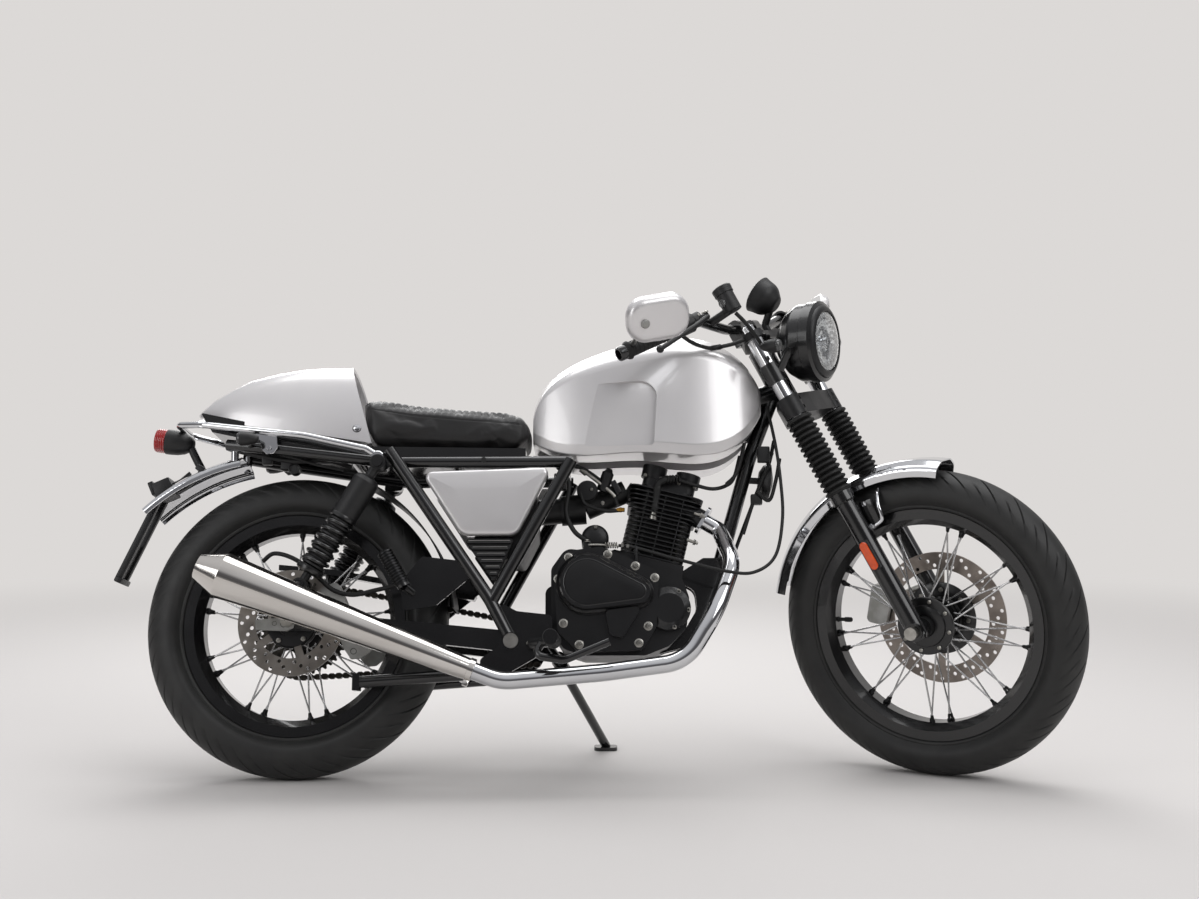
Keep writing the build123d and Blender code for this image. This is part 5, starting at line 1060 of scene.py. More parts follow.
@dataclass
class Headlamp:
    """Faceted reflector, bulb shield, clear glass and broad rim of the headlamp, for its plain lens."""

    place: Matrix
    centre: Spot = (136, 0, 624)
    rake: float = PARKING.rake
    edge: float = 63.0
    opening: float = 77.6
    facets: int = 40
    facet_depth: float = 1.3
    prisms: Pairs = ((62, 9.4), (57, 7.4), (52, 7), (47, 6))
    mirror: Pairs = ((47, 5.6), (40, 3.4), (32, 1), (23, 0), (13, -1))
    bulb: Pairs = ((14, -1.6), (14, 0.4), (9, 1.4), (9, 6.4), (7.5, 8.4), (3, 9.4))
    rim_face: Pairs = ((75, 8.6), (70, 11.6), (65.6, 12.6))
    glass_front: Pairs = ((58, 13.4), (44, 16.4), (22, 18.4), (4, 19))
    glass_back: Pairs = ((4, 16.6), (22, 16), (44, 14), (57, 11.2))

    def seat(self) -> Matrix:
        """Seat on the lamp's rim, its axis forward."""
        rake = radians(self.rake)
        return seat(self.centre, (cos(rake), 0, -sin(rake)), (0, 1, 0))

    def bowl(self, at: Matrix) -> None:
        """Faceted reflector bowl behind the glass.

        Args:
            at: Seat on the lamp's rim.
        """
        # The prism ring's dark facets are painted reflections on silver
        for name, paint, profile in (
            ("headlamp_prisms", Paint.PRISM_REFLECTIONS, self.prisms),
            ("headlamp_reflector", Paint.REFLECTOR, self.mirror),
        ):
            bench = Bench(self.place)
            rows = []
            for row, (radius, height) in enumerate(profile):
                ring = []
                for i in range(self.facets):
                    swell = self.facet_depth * (1 if (i + row) % 2 else -1)
                    a = tau * (i + 0.5 * (row % 2)) / self.facets
                    inner = 0 < row < len(profile) - 1
                    ring.append((radius * cos(a), radius * sin(a), height + (swell if inner else 0.0)))
                rows.append(bench.row(ring, at))
            bench.skin(rows, caps=False)
            bench.done(name, Body.STEERING, paint, 4)

    def build(self) -> None:
        """Makes the lamp's optics and the broad black rim round its glass."""
        at = self.seat()
        self.bowl(at)
        rim, bulb, glass = (Bench(self.place) for _ in range(3))
        rim_outside = [(self.opening, -3), (self.opening, 4), *self.rim_face]
        rim_inside = [(self.edge + 0.6, 11.6), (self.edge - 0.4, 8), (self.edge - 0.4, -3)]
        rim.lathe(at, rim_outside + rim_inside, 72, closed=True)
        rim.done("headlamp_rim", Body.STEERING, Paint.BLACK_CASTING)
        bulb.lathe(at, self.bulb, 28)
        bulb.done("headlamp_bulb_shield", Body.STEERING, Paint.CHROME)
        outside = [(self.edge, 6), (self.edge, 10.4), *self.glass_front]
        inside = [*self.glass_back, (self.edge - 2.6, 9.2), (self.edge - 2.6, 6)]
        glass.lathe(at, outside + inside, 64, closed=True)
        glass.lathe(at, [self.glass_back[0], self.glass_front[-1]], 64)
        piece = glass.done("headlamp_glass", Body.STEERING, Paint.CLEAR_LENS, 50)
        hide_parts("headlamp_lens")


@dataclass
class Gauge:
    """Dial with its scale and needle under a glass, in the instrument's bowl."""

    place: Matrix
    centre: Spot = (60, 0, 790)
    axis: Spot = (-0.50, 0, 0.866)
    radius: float = 33.0
    scale_start: float = -50.0
    scale_sweep: float = 280.0
    marks: int = 24
    pointer: Pairs = ((-5, -0.9), (25, -0.3), (25, 0.3), (-5, 0.9))

    def build(self) -> None:
        """Makes the dial's pieces."""
        at = seat(self.centre, self.axis, (0, 1, 0))
        edge = self.radius
        dial, marks, needle, glass = (Bench(self.place) for _ in range(4))
        dial.lathe(at, [(edge, -1.9), (edge, -0.9), (4, -0.9), (4, 0.6), (3, 0.9)], 48)
        for i in range(self.marks + 1):
            turn = Matrix.Rotation(radians(self.scale_start + i * self.scale_sweep / self.marks), 4, "Z")
            length, width = (6, 1.1) if i % 4 == 0 else (3.2, 0.6)
            spot = at @ turn @ Matrix.Translation((edge - 2 - length / 2, 0, -0.75))
            marks.block(spot, (length, width, 0.4), 0.05)
        rest = at @ Matrix.Rotation(radians(self.scale_start), 4, "Z")
        needle.prism(rest, self.pointer, 0.0, 0.6)
        pane = [(edge + 1, 1.2), (edge + 1, 2), (20, 3.2), (3, 3.6), (3, 2.6), (20, 2.2)]
        glass.lathe(at, pane, 48, closed=True)
        dial.done("gauge_dial", Body.STEERING, Paint.BLACK_ABS)
        marks.done("gauge_scale", Body.STEERING, Paint.WHITE_PRINT)
        needle.done("gauge_needle", Body.STEERING, Paint.RED_LENS)
        glass.done("gauge_glass", Body.STEERING, Paint.CLEAR_LENS)


# Seat, tail and body panels


@dataclass
class SeatCushion:
    """Foam seat under vinyl with cross ribs along its top, swelled by cloth simulation."""

    place: Matrix
    half_width: float = 106.0
    rear: float = 158.0
    front: float = 484.0
    slope: float = 28.0
    dome: float = 5.0
    rows: int = 60
    around: int = 56
    rib_pitch: float = 14.2
    rib_depth: float = 3.4
    ribs_from: float = 142.0
    ribs_to: float = 458.0
    welt_drop: float = 24.0
    welt_half: float = 1.6
    welt_depth: float = 1.4
    voxel: float = 5.0
    reach: float = 7.0
    pressure: float = 4.0
    frames: int = 20
    shrink: float = 4.0
    top: Pairs = ((108, 786), (180, 776), (250, 766), (340, 757), (440, 750), (470, 746), (486, 726))
    base: Pairs = ((108, 681), (300, 678), (462, 675.5), (486, 694))

    def level(self, line: Pairs, x: float) -> float:
        """Height of a line at x.

        Args:
            line: Points of the line as x and height.
            x: Distance ahead of the rear axle.

        Returns:
            The height.
        """
        for (x0, z0), (x1, z1) in zip(line, line[1:]):
            if x <= x1:
                return z0 + (z1 - z0) * max(0.0, x - x0) / (x1 - x0)
        return line[-1][1]

    def core(self) -> Piece:
        """Closed form of the foam, a little smaller than the seat, sloped at its rear against the cowl.

        Returns:
            The form as a piece that rides on the frame.
        """
        bench = Bench(self.place)
        rows = []
        for i in range(self.rows + 1):
            share = i / self.rows
            row = []
            for k in range(self.around):
                a = tau * k / self.around
                c, s = cos(a), sin(a)
                lean = (1 - share) * self.slope * (0.5 + 0.5 * s)
                x = self.rear + (self.front - self.rear) * share - lean
                top = self.level(self.top, x) - self.shrink
                low = self.level(self.base, x) + self.shrink * 0.5
                end = min(share / 0.03, (1 - share) / 0.06, 1.0)
                squeeze = 1 - 0.14 * (1 - end) ** 2
                taper = 1 - 0.07 * max(0.0, share - 0.72) / 0.28
                half = (self.half_width - self.shrink) * squeeze * taper
                y = half * abs(c) ** (0.34 if s > 0 else 0.2) * (1 if c > 0 else -1)
                rise = (top - low) / 2 * squeeze * abs(s) ** 0.36 * (1 if s > 0 else -1)
                dome = max(0.0, s) * self.dome * (1 - (y / half) ** 2)
                row.append((x, y * (1 - 0.04 * max(0.0, -s)), (top + low) / 2 + (rise + dome)))
            rows.append(bench.row(row))
        bench.skin(rows)
        return bench.done("seat_cushion", Body.FRAME, Paint.SEAT_VINYL, 80)

    def swell(self, piece: Piece) -> None:
        """Remeshes the form evenly and lets air pressure swell its cover.

        Args:
            piece: The form; none of its points moves further than the reach.
        """
        remesh = piece.modifiers.new("even", "REMESH")
        remesh.mode = "VOXEL"
        remesh.voxel_size = self.voxel * MM
        self.bake(piece)
        before = [vertex.co.copy() for vertex in piece.data.vertices]
        cloth = piece.modifiers.new("swell", "CLOTH")
        cloth.settings.use_pressure = True
        cloth.settings.uniform_pressure_force = self.pressure
        cloth.settings.effector_weights.gravity = 0.0
        for step in range(1, self.frames + 1):
            bpy.context.scene.frame_set(step)
        self.bake(piece)
        bpy.context.scene.frame_set(1)
        for vertex, start in zip(piece.data.vertices, before):
            move = vertex.co - start
            if move.length > self.reach * MM:
                vertex.co = start + move.normalized() * self.reach * MM

    def bake(self, piece: Piece) -> None:
        """Applies every modifier of the piece.

        Args:
            piece: The piece whose mesh is replaced by the result.
        """
        ready = piece.evaluated_get(bpy.context.evaluated_depsgraph_get())
        data = bpy.data.meshes.new_from_object(ready)
        piece.modifiers.clear()
        piece.data = data

    def sew(self, piece: Piece) -> None:
        """Subdivides once, then sews cross ribs into the top and a welt line along both top edges.

        Args:
            piece: The swelled form.
        """
        finer = piece.modifiers.new("finer", "SUBSURF")
        finer.levels = 1
        self.bake(piece)
        back = self.place.inverted()
        for vertex in piece.data.vertices:
            x, y, z = back @ vertex.co
            top = self.level(self.top, x)
            lift = min(1.0, max(0.0, (z - top + 22.0) / 16.0))
            inside = min(1.0, max(0.0, (self.half_width - 6.0 - abs(y)) / 10.0))
            if self.ribs_from < x < self.ribs_to and lift > 0:
                phase = ((x - self.ribs_from) / self.rib_pitch) % 1.0
                z -= self.rib_depth * lift * (0.35 + 0.65 * inside) * abs(2 * phase - 1) ** 3
            seam = abs(z - (top - self.welt_drop)) / self.welt_half
            if seam < 1 and abs(y) > self.half_width - 14.0:
                y -= (1 if y > 0 else -1) * self.welt_depth * (1 - seam)
            vertex.co = self.place @ Vector((x, y, z))

    def build(self) -> None:
        """Makes the cushion in place of its plain solid."""
        piece = self.core()
        self.swell(piece)
        self.sew(piece)
        piece.data.polygons.foreach_set("use_smooth", [True] * len(piece.data.polygons))
        dress(piece, Paint.SEAT_VINYL)
        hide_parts("seat")


@dataclass
class Tail:
    """Painted seat cowl with its screws, the tail lamp, and the bright tabs and connectors under the rail."""

    place: Matrix
    stations: tuple[tuple[float, float, float, float], ...] = (
        (-224, 756, 766, 30), (-216, 753, 774, 40), (-190, 742, 796, 60),
        (-150, 733, 819, 75), (-110, 724, 838, 87), (-50, 715, 853, 96),
        (0, 707, 861, 101), (50, 699, 864, 105), (97, 691, 864, 107),
        (172, 678.5, 866, 108),
    )
    edge_low: Pair = (157, 681)
    edge_high: Pair = (103, 864)
    fold: Pairs = ((0.986, 0.6), (0.97, 2), (0.96, 12))
    fold_height: float = 690.0
    around: int = 40
    lamp: Spot = (-240, 0, 702)
    lamp_axis: Spot = (-1, 0, 0.13)
    bullet: Pairs = ((3, -2), (10, 0), (17, 7), (22.5, 17), (26, 32), (27, 46), (27, 57), (25.6, 58.2))
    lens_start: Pair = (25.4, 58)
    lens_rib: Pairs = ((25.8, 59), (24.9, 61.2), (24.9, 62.2))
    lens_end: Pairs = ((24, 80), (19, 81.6), (5, 82.2))
    stem: Spots = ((-250, 0, 704), (-236, 0, 676), (-216, 0, 640))
    cup: Pairs = ((9.6, -2), (9.6, 1), (8.6, 1.6))
    cowl_screw: Pairs = ((8, 0.6), (8, 2.4), (6.4, 4.6), (3, 5.4), (2.6, 3.8))
    rail_foot: Pairs = ((14, -4), (14, 8), (12.4, 9.6))
    rail_end: Pairs = ((9, -4), (9, 6), (7.4, 8))
    tab: Pairs = ((-86, 704), (-40, 698), (-36, 672), (-44, 660), (-58, 657), (-68, 666), (-74, 686))
    connectors: Spots = ((-24, 642, 24), (20, 660, 30), (58, 656, 22), (-66, 654, 20))
    round_plug: Pairs = ((12, -20), (12, 4), (9, 5.6), (8, 2))
    thick_loom: Spots = (
        (110, -60, 640), (60, -74, 652), (10, -78, 648), (-30, -76, 652), (-90, -70, 664), (-150, -60, 680)
    )
    thin_loom: Spots = ((96, -84, 628), (40, -86, 640), (-10, -84, 656), (-60, -90, 668))

    def section(self, x: float, turn: float) -> Pair:
        """Point of the cowl's skin.

        Args:
            x: Distance ahead of the rear axle.
            turn: Angle that runs from the right foot over the top to the left.

        Returns:
            Across and height.
        """
        last = self.stations[-1]
        for a, b in zip(self.stations, self.stations[1:]):
            if x <= b[0]:
                last = tuple(p + (q - p) * max(0.0, (x - a[0]) / (b[0] - a[0])) for p, q in zip(a, b))
                break
        _, floor, top, half = last
        c, s = cos(turn), sin(turn)
        y = -half * abs(c) ** 0.62 * (1 if c > 0 else -1)
        return y, floor + (top - floor) * abs(s) ** 0.86

    def front(self, z: float) -> float:
        """Where the cowl's leaning front edge is at a height."""
        (x0, z0), (x1, z1) = self.edge_low, self.edge_high
        return x0 + (x1 - x0) * (z - z0) / (z1 - z0)

    def cowl(self) -> None:
        """Skin of the cowl, its folded front edge, and the recessed face behind it."""
        bench = Bench(self.place)
        turns = [pi * k / self.around for k in range(self.around + 1)]
        rows = [bench.row((x, *self.section(x, t)) for t in turns) for x, *_ in self.stations[:-2]]
        skin_end, guess = self.stations[-3][0], self.stations[-2][0]
        for share in (0.25, 0.5, 0.75, 1):
            edge = []
            for t in turns:
                x = guess
                for _ in range(3):
                    x = self.front(self.section(x, t)[1])
                x = skin_end + (x - skin_end) * share
                edge.append((x, *self.section(x, t)))
            rows.append(bench.row(edge))
        foot = self.fold_height
        for inset, sink in self.fold:
            rows.append(bench.row((x - sink, y * inset, foot + (z - foot) * inset) for x, y, z in edge))
        bench.skin(rows, around=False)
        bench.mesh.faces.new(rows[-1])
        bench.mesh.faces.new(rows[0][::-1])
        for low, high in zip(rows, rows[1:]):
            bench.mesh.faces.new((low[0], high[0], high[-1], low[-1]))
        piece = bench.done("seat_cowl", Body.FRAME, Paint.SILVER_BASECOAT, 40)
        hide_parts("tail_cowl")

    def lamps(self) -> None:
        """Bullet tail lamp on its stem, with a ribbed red lens."""
        body, lens = Bench(self.place), Bench(self.place)
        at = seat(self.lamp, self.lamp_axis)
        body.lathe(at, self.bullet, 44)
        body.tube(self.stem, 8.5, 16)
        body.block(laid((-217, 0, 646), 28), (26, 40, 12), 3.0)
        ribs = [(radius, height + k * 4) for k in range(5) for radius, height in self.lens_rib]
        lens.lathe(at, [self.lens_start, *ribs, *self.lens_end], 44)
        piece = body.done("tail_lamp_body", Body.FRAME, Paint.BLACK_ABS)
        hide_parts("tail_lamp")
        lens.done("tail_lamp_glass", Body.FRAME, Paint.RED_LENS, 24)

    def fittings(self) -> None:
        """Screws of the cowl, bosses of the rail, bright tabs, and connectors and wires under the tail."""
        bright, dark, wires = (Bench(self.place) for _ in range(3))
        for side in (1, -1):
            screw = seat((125.7, side * 105.6, 713.4), (0, side, 0.1))
            dark.lathe(screw, self.cup, 28)
            bright.lathe(screw, self.cowl_screw, 24)
            bright.lathe(seat((174, side * 126, 645), (0, side, 0)), self.rail_foot, 28)
            bright.bolt((174, side * 135.6, 645), (0, side, 0), 7.0)
            face = seat((0, side * 108, 0), (0, side, 0), (1, 0, 0))
            bright.prism(face, [(x, -side * z) for x, z in self.tab], 0.0, 3.0, 0.6)
            bright.bolt((-54, side * 111, 670), (0, side, 0))
            bright.lathe(seat((-198, side * 92, 726), (-0.3, side, 0)), self.rail_end, 24)
        for x, z, wide in self.connectors:
            dark.block(laid((x, -66, z)), (wide, 22, 20), 2.5)
        dark.lathe(seat((-8, -74, 634), (0, -1, 0)), self.round_plug, 24)
        wires.tube(self.thick_loom, 5.0, 12)
        wires.tube(self.thin_loom, 3.0, 10)
        bright.done("tail_fittings", Body.FRAME, Paint.CHROME)
        dark.done("tail_connectors", Body.FRAME, Paint.BLACK_ABS)
        wires.done("tail_wires", Body.FRAME, Paint.MOULDED_RUBBER)

    def build(self) -> None:
        """Makes every piece of the tail."""
        self.cowl()
        self.lamps()
        self.fittings()


@dataclass
class PlateBracket:
    """Forked number plate strap below the tail lamp, with its lamp box and foot, for its plain solid."""

    place: Matrix
    top: Spot = (-291, 0, 606)
    foot: Spot = (-379, 0, 406)
    half: float = 26.0
    leg: Pair = (12, 14)
    ties: Pairs = ((0.06, 34), (0.80, 84))
    screw_shares: Pair = (0.18, 0.82)
    box_tilt: float = -24.0
    arm: Spots = ((-290, 0, 604), (-262, 0, 614), (-238, 0, 634))

    def build(self) -> None:
        """Makes the strap from two legs, cross ties, the arm, the lamp box and the foot."""
        bench, screws = Bench(self.place), Bench(self.place)
        top, run = Vector(self.top), Vector(self.foot) - Vector(self.top)
        at = seat(top, run, (0, 1, 0))
        length = run.length
        for side in (-1, 1):
            spot = at @ Matrix.Translation((side * (self.half - 6.0), 0.0, length / 2))
            bench.block(spot, (*self.leg, length), 2.0)
        for share, tall in self.ties:
            spot = at @ Matrix.Translation((0, 0, length * share))
            bench.block(spot, (2 * self.half - 4, 4.6, tall), 1.5)
        spot = at @ Matrix.Translation((0, 3, length - 4))
        bench.block(spot, (2 * self.half + 10, 16, 12), 3.0)
        bench.block(laid((-294, 0, 602), self.box_tilt), (40, 54, 40), 4.0)
        bench.block(laid((-318, 0, 604), self.box_tilt), (12, 46, 30), 3.0)
        bench.tube(self.arm, 13.0, 16)
        for share in self.screw_shares:
            screws.cap_screw(top + run * share + Vector((-3, 0, 1)), (-1, 0, 0.44))
        piece = bench.done("plate_strap", Body.FRAME, Paint.BLACK_CASTING)
        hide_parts("plate_bracket")
        screws.done("plate_screws", Body.FRAME, Paint.BLACK_OXIDE)


@dataclass
class Indicators:
    """Four small bullet indicators on stems: clear in front, for their plain solids, and smoked behind."""

    bike: Matrix
    fork: Matrix
    rake: float = PARKING.rake
    rear: Spots = ((-98, 142, 683), (-98, 84, 679))
    front: Spots = ((98, 158, 641), (66, 106, 640))
    bullet: Pairs = ((2, -29), (6, -27.6), (10.6, -20), (13.6, -8), (14.5, 0), (14.5, 9), (13.2, 9.6))
    lens: Pairs = ((13, 8), (13, 12), (11, 15), (6, 17), (2, 17.4))

    def build(self) -> None:
        """Makes the bodies, stems and lenses, front and rear."""
        ahead = (cos(radians(self.rake)), 0.0, -sin(radians(self.rake)))
        for name, place, body, (spot, root), axis, paint in (
            ("rear", self.bike, Body.FRAME, self.rear, (-1, 0, 0), Paint.SMOKED_LENS),
            ("front", self.fork, Body.STEERING, self.front, ahead, Paint.CLEAR_LENS),
        ):
            shell, lens = Bench(place), Bench(place)
            for side in (-1, 1):
                at = seat((spot[0], side * spot[1], spot[2]), axis)
                shell.lathe(at, self.bullet, 32)
                lens.lathe(at, self.lens, 28)
                near = (spot[0] - axis[0] * 10, side * spot[1], spot[2])
                shell.tube([near, (root[0], side * root[1], root[2])], 5.4, 14)
            made = shell.done(f"{name}_indicator_bodies", body, Paint.BLACK_ABS)
            if name == "front":
                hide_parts("front_indicators")
            lens.done(f"{name}_indicator_lenses", body, paint)


@dataclass
class SidePanels:
    """Painted side panels with a bevelled edge and the slatted grille under each, a painted highlight along
    each blade, for the plain solids.
    """

    place: Matrix
    outline: Pairs = ((262, 616), (532, 625), (461, 484), (348, 484))
    corners: tuple[float, ...] = (14, 12, 26, 30)
    bevel: Pairs = (
        (2, 100), (0, 102), (0, 126), (1.2, 130.5), (4.4, 133.4), (7, 134), (13, 134.8), (40, 136.4)
    )
    grille: Pairs = ((352, 478), (457, 478), (416, 386))
    grille_corners: Spot = (6, 6, 8)
    grille_edge: Pairs = ((0, 108), (0, 121), (1, 122.4))
    slat_count: int = 6
    slat_pitch: float = 13.0
    slat_start: float = 405.0
    slat_tilt: float = 24.0
    grille_tip: Pair = (417, 386)
    grille_spread: Spot = (64, 38, 92)
    grommet: Pairs = ((6, 0), (6, 3), (3, 3.6))

    def plate(
        self, bench: Bench, side: int, outline: Outline, corners: Sequence[float], steps: Outline
    ) -> None:
        """Plate with rounded corners on one side of the motorcycle.

        Args:
            bench: Bench that gets the plate.
            side: 1 on the left, -1 on the right.
            outline: Corners of the plate as x and height.
            corners: Radius of each corner.
            steps: Its section as inset and distance from the middle.
        """
        rows = []
        for inset, y in steps:
            rows.append(bench.row((x, side * y, z) for x, z in softened(outline, corners, inset)))
        bench.skin(rows)

    def build(self) -> None:
        """Makes both sides."""
        panels, grilles, slat_highlights, grommets = (Bench(self.place) for _ in range(4))
        tip_x, tip_z = self.grille_tip
        back, ahead, tall = self.grille_spread
        for side in (-1, 1):
            self.plate(panels, side, self.outline, self.corners, self.bevel)
            self.plate(grilles, side, self.grille, self.grille_corners, self.grille_edge)
            for index in range(self.slat_count):
                z = self.slat_start + index * self.slat_pitch
                share = (z - tip_z) / tall
                low, high = tip_x - back * share, tip_x + ahead * share
                lean = Matrix.Rotation(radians(side * self.slat_tilt), 4, "X")
                middle = (low + high) / 2
                grilles.block(laid((middle, side * 124, z)) @ lean, (high - low - 5, 7, 7.4), 1.4)
                # Thin pale strip on each blade's top edge: a painted highlight
                slat_highlights.block(laid((middle, side * 127.6, z + 3)), (high - low - 9, 1.2, 1.4), 0.3)
            grommets.lathe(seat((392, side * 128, 640), (0, side, 0)), self.grommet, 16)
        piece = panels.done("side_panel_covers", Body.FRAME, Paint.SILVER_BASECOAT, 50)
        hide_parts("side_panels")
        grilles.done("side_grilles", Body.FRAME, Paint.BLACK_ABS)
        slat_highlights.done("grille_slat_highlights", Body.FRAME, Paint.SLAT_HIGHLIGHT)
        grommets.done("panel_grommets", Body.FRAME, Paint.MOULDED_RUBBER)


# Engine and running gear


@dataclass
class EngineTrim:
    """Cover screws, fin ribs, plug cap and lead, starter and throttle fittings of the engine."""

    place: Matrix
    half_width: float = 92.0
    tilt: float = 14.0
    base: Pair = (735, 441)
    cover_screws: Pairs = (
        (556, 306), (588, 263), (708, 266), (727, 300), (741, 398), (702, 422), (646, 446), (566, 440),
        (545, 396),
    )
    screw_boss: Pairs = ((9, -6), (9, 0.6), (8, 1))
    crank_cover: Spot = (770, 337, 39)
    crank_screws: tuple[float, ...] = (60, -5, -75)
    alternator: Spot = (748, 340, 50)
    rocker_screws: tuple[float, ...] = (-53, -19, 19, 53)
    pear_ends: Spots = ((604, 386, 63.6), (706, 368, 32.6))
    pear_steps: Pairs = (
        (0, 22), (0, 31), (1, 33.6), (3, 36), (14, 49), (16, 50.4), (17.4, 50.6), (18.2, 49.8), (19, 50.6),
        (24, 51),
    )
    fins: int = 14
    barrel_fins: int = 10
    fin_start: float = 8.6
    fin_pitch: float = 9.6
    rib: float = 2.4
    spark_plug: Pairs = ((9, 0), (9, 10), (7, 11), (7, 22))
    plug_cap: Pairs = ((7.6, 0), (9, 2), (9, 12), (8, 14), (8.4, 40), (9.6, 44), (9.6, 50), (7, 54))
    plug_elbow: Spots = ((750, -60, 590), (754, -61, 604), (768, -60, 612), (786, -57, 614))
    elbow_ring: Pairs = ((6.6, 0), (9, 0.8), (9, 3), (6.6, 3.8))
    plug_lead: Spots = (
        (790, -56, 614), (829.8, -50, 602), (865.8, -46, 594.4), (895, -40, 602), (913, -34, 620),
        (927, -30, 668),
    )
    starter_motor: Pairs = ((9, -3), (22, -1), (27, 3), (28.5, 8), (28.5, 96))
    slide_cap: Pairs = ((12, -16), (12.6, -14), (12.6, 24), (9, 27), (6, 34))
    pulley: Pairs = ((20, -10), (22, -4), (18, -2), (22, 0), (20, 3), (8, 4))
    breather: Spots = ((592, -50, 636), (612, -52, 620), (650, -50, 590), (662, -48, 578))
    breather_end: Pairs = ((5, 0), (6.4, 1), (6.4, 16), (5, 17))
    idle_knob: Pairs = ((3, -8), (5.4, 0), (5.4, 3), (4.6, 4), (4.6, 9), (3.4, 10))

    def cylinder(self) -> Matrix:
        """Seat on the crankcase deck, its axis up the cylinder."""
        tilt = radians(self.tilt)
        return seat((self.base[0], 0, self.base[1]), (sin(tilt), 0, cos(tilt)), (1, 0, 0))

    def screws(self) -> None:
        """Bright domed screws round the clutch cover, the crank cover, the alternator cover and the head."""
        bench = Bench(self.place)
        for x, z in self.cover_screws:
            bench.lathe(seat((x, -self.half_width - 23.8, z), (0, -1, 0)), self.screw_boss, 20)
            bench.cap_screw((x, -self.half_width - 24, z), (0, -1, 0), 6.4)
        x, z, radius = self.crank_cover
        for turn in self.crank_screws:
            a = radians(turn)
            spot = (x + radius * cos(a), -self.half_width - 14.0, z + radius * sin(a))
            bench.cap_screw(spot, (0, -1, 0))
        x, z, radius = self.alternator
        for k in range(6):
            a = radians(60 * k + 20)
            spot = (x + radius * cos(a), self.half_width + 33.0, z + radius * sin(a))
            bench.cap_screw(spot, (0, 1, 0))
        at = self.cylinder()
        for x in self.rocker_screws:
            bench.cap_screw(at @ Vector((x, -44.2, 176)), (0, -1, 0), 5.0)
        bench.done("engine_screws", Body.FRAME, Paint.ZINC_STEEL)

    def pear(self, inset: float, steps: int = 16) -> list[Pair]:
        """Outline round two circles of the clutch cover.

        Args:
            inset: How far it is moved inwards.
            steps: Steps round each circle.

        Returns:
            Points of the outline as x and height.
        """
        (x0, z0, r0), (x1, z1, r1) = self.pear_ends
        run = Vector((x1 - x0, z1 - z0))
        base = Vector((1, 0)).angle_signed(run) * -1
        wrap = acos((r0 - r1) / run.length)
        made = []
        for x, z, radius, start, sweep in (
            (x0, z0, r0, base + wrap, tau - 2 * wrap), (x1, z1, r1, base - wrap, 2 * wrap)
        ):
            for k in range(steps + 1):
                a = start + sweep * k / steps
                made.append((x + (radius - inset) * cos(a), z + (radius - inset) * sin(a)))
        return made

    def cover(self) -> None:
        """Raised skin of the clutch cover: upright foot, broad bevel, a fine groove and the flat face."""
        bench = Bench(self.place)
        rows = []
        for inset, out in self.pear_steps:
            rows.append(bench.row((x, -self.half_width - out, z) for x, z in self.pear(inset)))
        bench.skin(rows)
        bench.done("clutch_cover_face", Body.FRAME, Paint.BLACK_COVER, 30)

    def ribs(self) -> None:
        """Short cast ribs that tie the fins together at their edges."""
        bench = Bench(self.place)
        at = self.cylinder()
        for k in range(self.fins):
            middle = self.fin_start + k * self.fin_pitch + 3.6
            high = k - self.barrel_fins
            half_x, half_y = (73 + high, 64) if high >= 0 else (67, 62)
            for x in (-38, 0, 38):
                for side in (-1, 1):
                    spot = at @ Matrix.Translation((x, side * (half_y - 3.6), middle))
                    bench.block(spot, (self.rib, 5, 7.4), 0.4)
            for y in (-34, 0, 34):
                spot = at @ Matrix.Translation((half_x - 3.6, y, middle))
                bench.block(spot, (5, self.rib, 7.4), 0.4)
        bench.done("fin_ribs", Body.FRAME, Paint.BLACK_CASTING)

    def plug(self) -> None:
        """Spark plug cap in its well in the head's side, and its lead forward to the frame's front."""
        cap, lead, plug = (Bench(self.place) for _ in range(3))
        plug.lathe(seat((741, -52, 528), (0.12, -0.1, 1)), self.spark_plug, 18)
        cap.lathe(seat((744, -55, 546), (0.14, -0.1, 1)), self.plug_cap, 22)
        cap.tube(self.plug_elbow, 7.4, 16)
        for k in range(5):
            at = seat((770 + 6 * k, -60 + k, 612 + 0.5 * k), (1, 0.1, 0.1))
            cap.lathe(at, self.elbow_ring, 18)
        lead.tube(self.plug_lead, 4.0, 12, 8)
        plug.done("spark_plug", Body.FRAME, Paint.ZINC_STEEL)
        cap.done("spark_plug_cap", Body.FRAME, Paint.MOULDED_RUBBER)
        lead.done("spark_plug_lead", Body.FRAME, Paint.MOULDED_RUBBER)

    def starter(self) -> None:
        """Starter motor behind the cylinder, the throttle body's pulley, fittings and brass idle screw."""
        dark, bright, brass = (Bench(self.place) for _ in range(3))
        dark.lathe(seat((620, -78, 486), (0, 1, 0)), self.starter_motor, 36)
        bright.cap_screw((621, -80, 508), (0, -1, 0), 5.0)
        dark.lathe(seat((640, -44, 606), (0.35, -0.1, 1)), self.slide_cap, 24)
        dark.lathe(seat((604, -62, 588), (0, -1, 0)), self.pulley, 30)
        dark.block(laid((664, -46, 598), -28), (12, 16, 30), 2.5)
        bright.tube(self.breather, 3.8, 12)
        bright.lathe(seat((590, -50, 637), (0.75, 0, -0.62)), self.breather_end, 18)
        bright.cap_screw((636, -62, 562), (0, -1, 0), 5.0)
        bright.cap_screw((613, -66, 590), (0, -1, 0), 4.0)
        brass.lathe(seat((672, -58, 548), (1, 0, 0)), self.idle_knob, 18)
        dark.done("starter_and_throttle_body", Body.FRAME, Paint.BLACK_CASTING)
        bright.done("throttle_fittings", Body.FRAME, Paint.ZINC_STEEL)
        brass.done("idle_screw", Body.FRAME, Paint.BRASS)

    def build(self) -> None:
        """Makes every piece of the trim."""
        self.screws()
        self.cover()
        self.ribs()
        self.plug()
        self.starter()


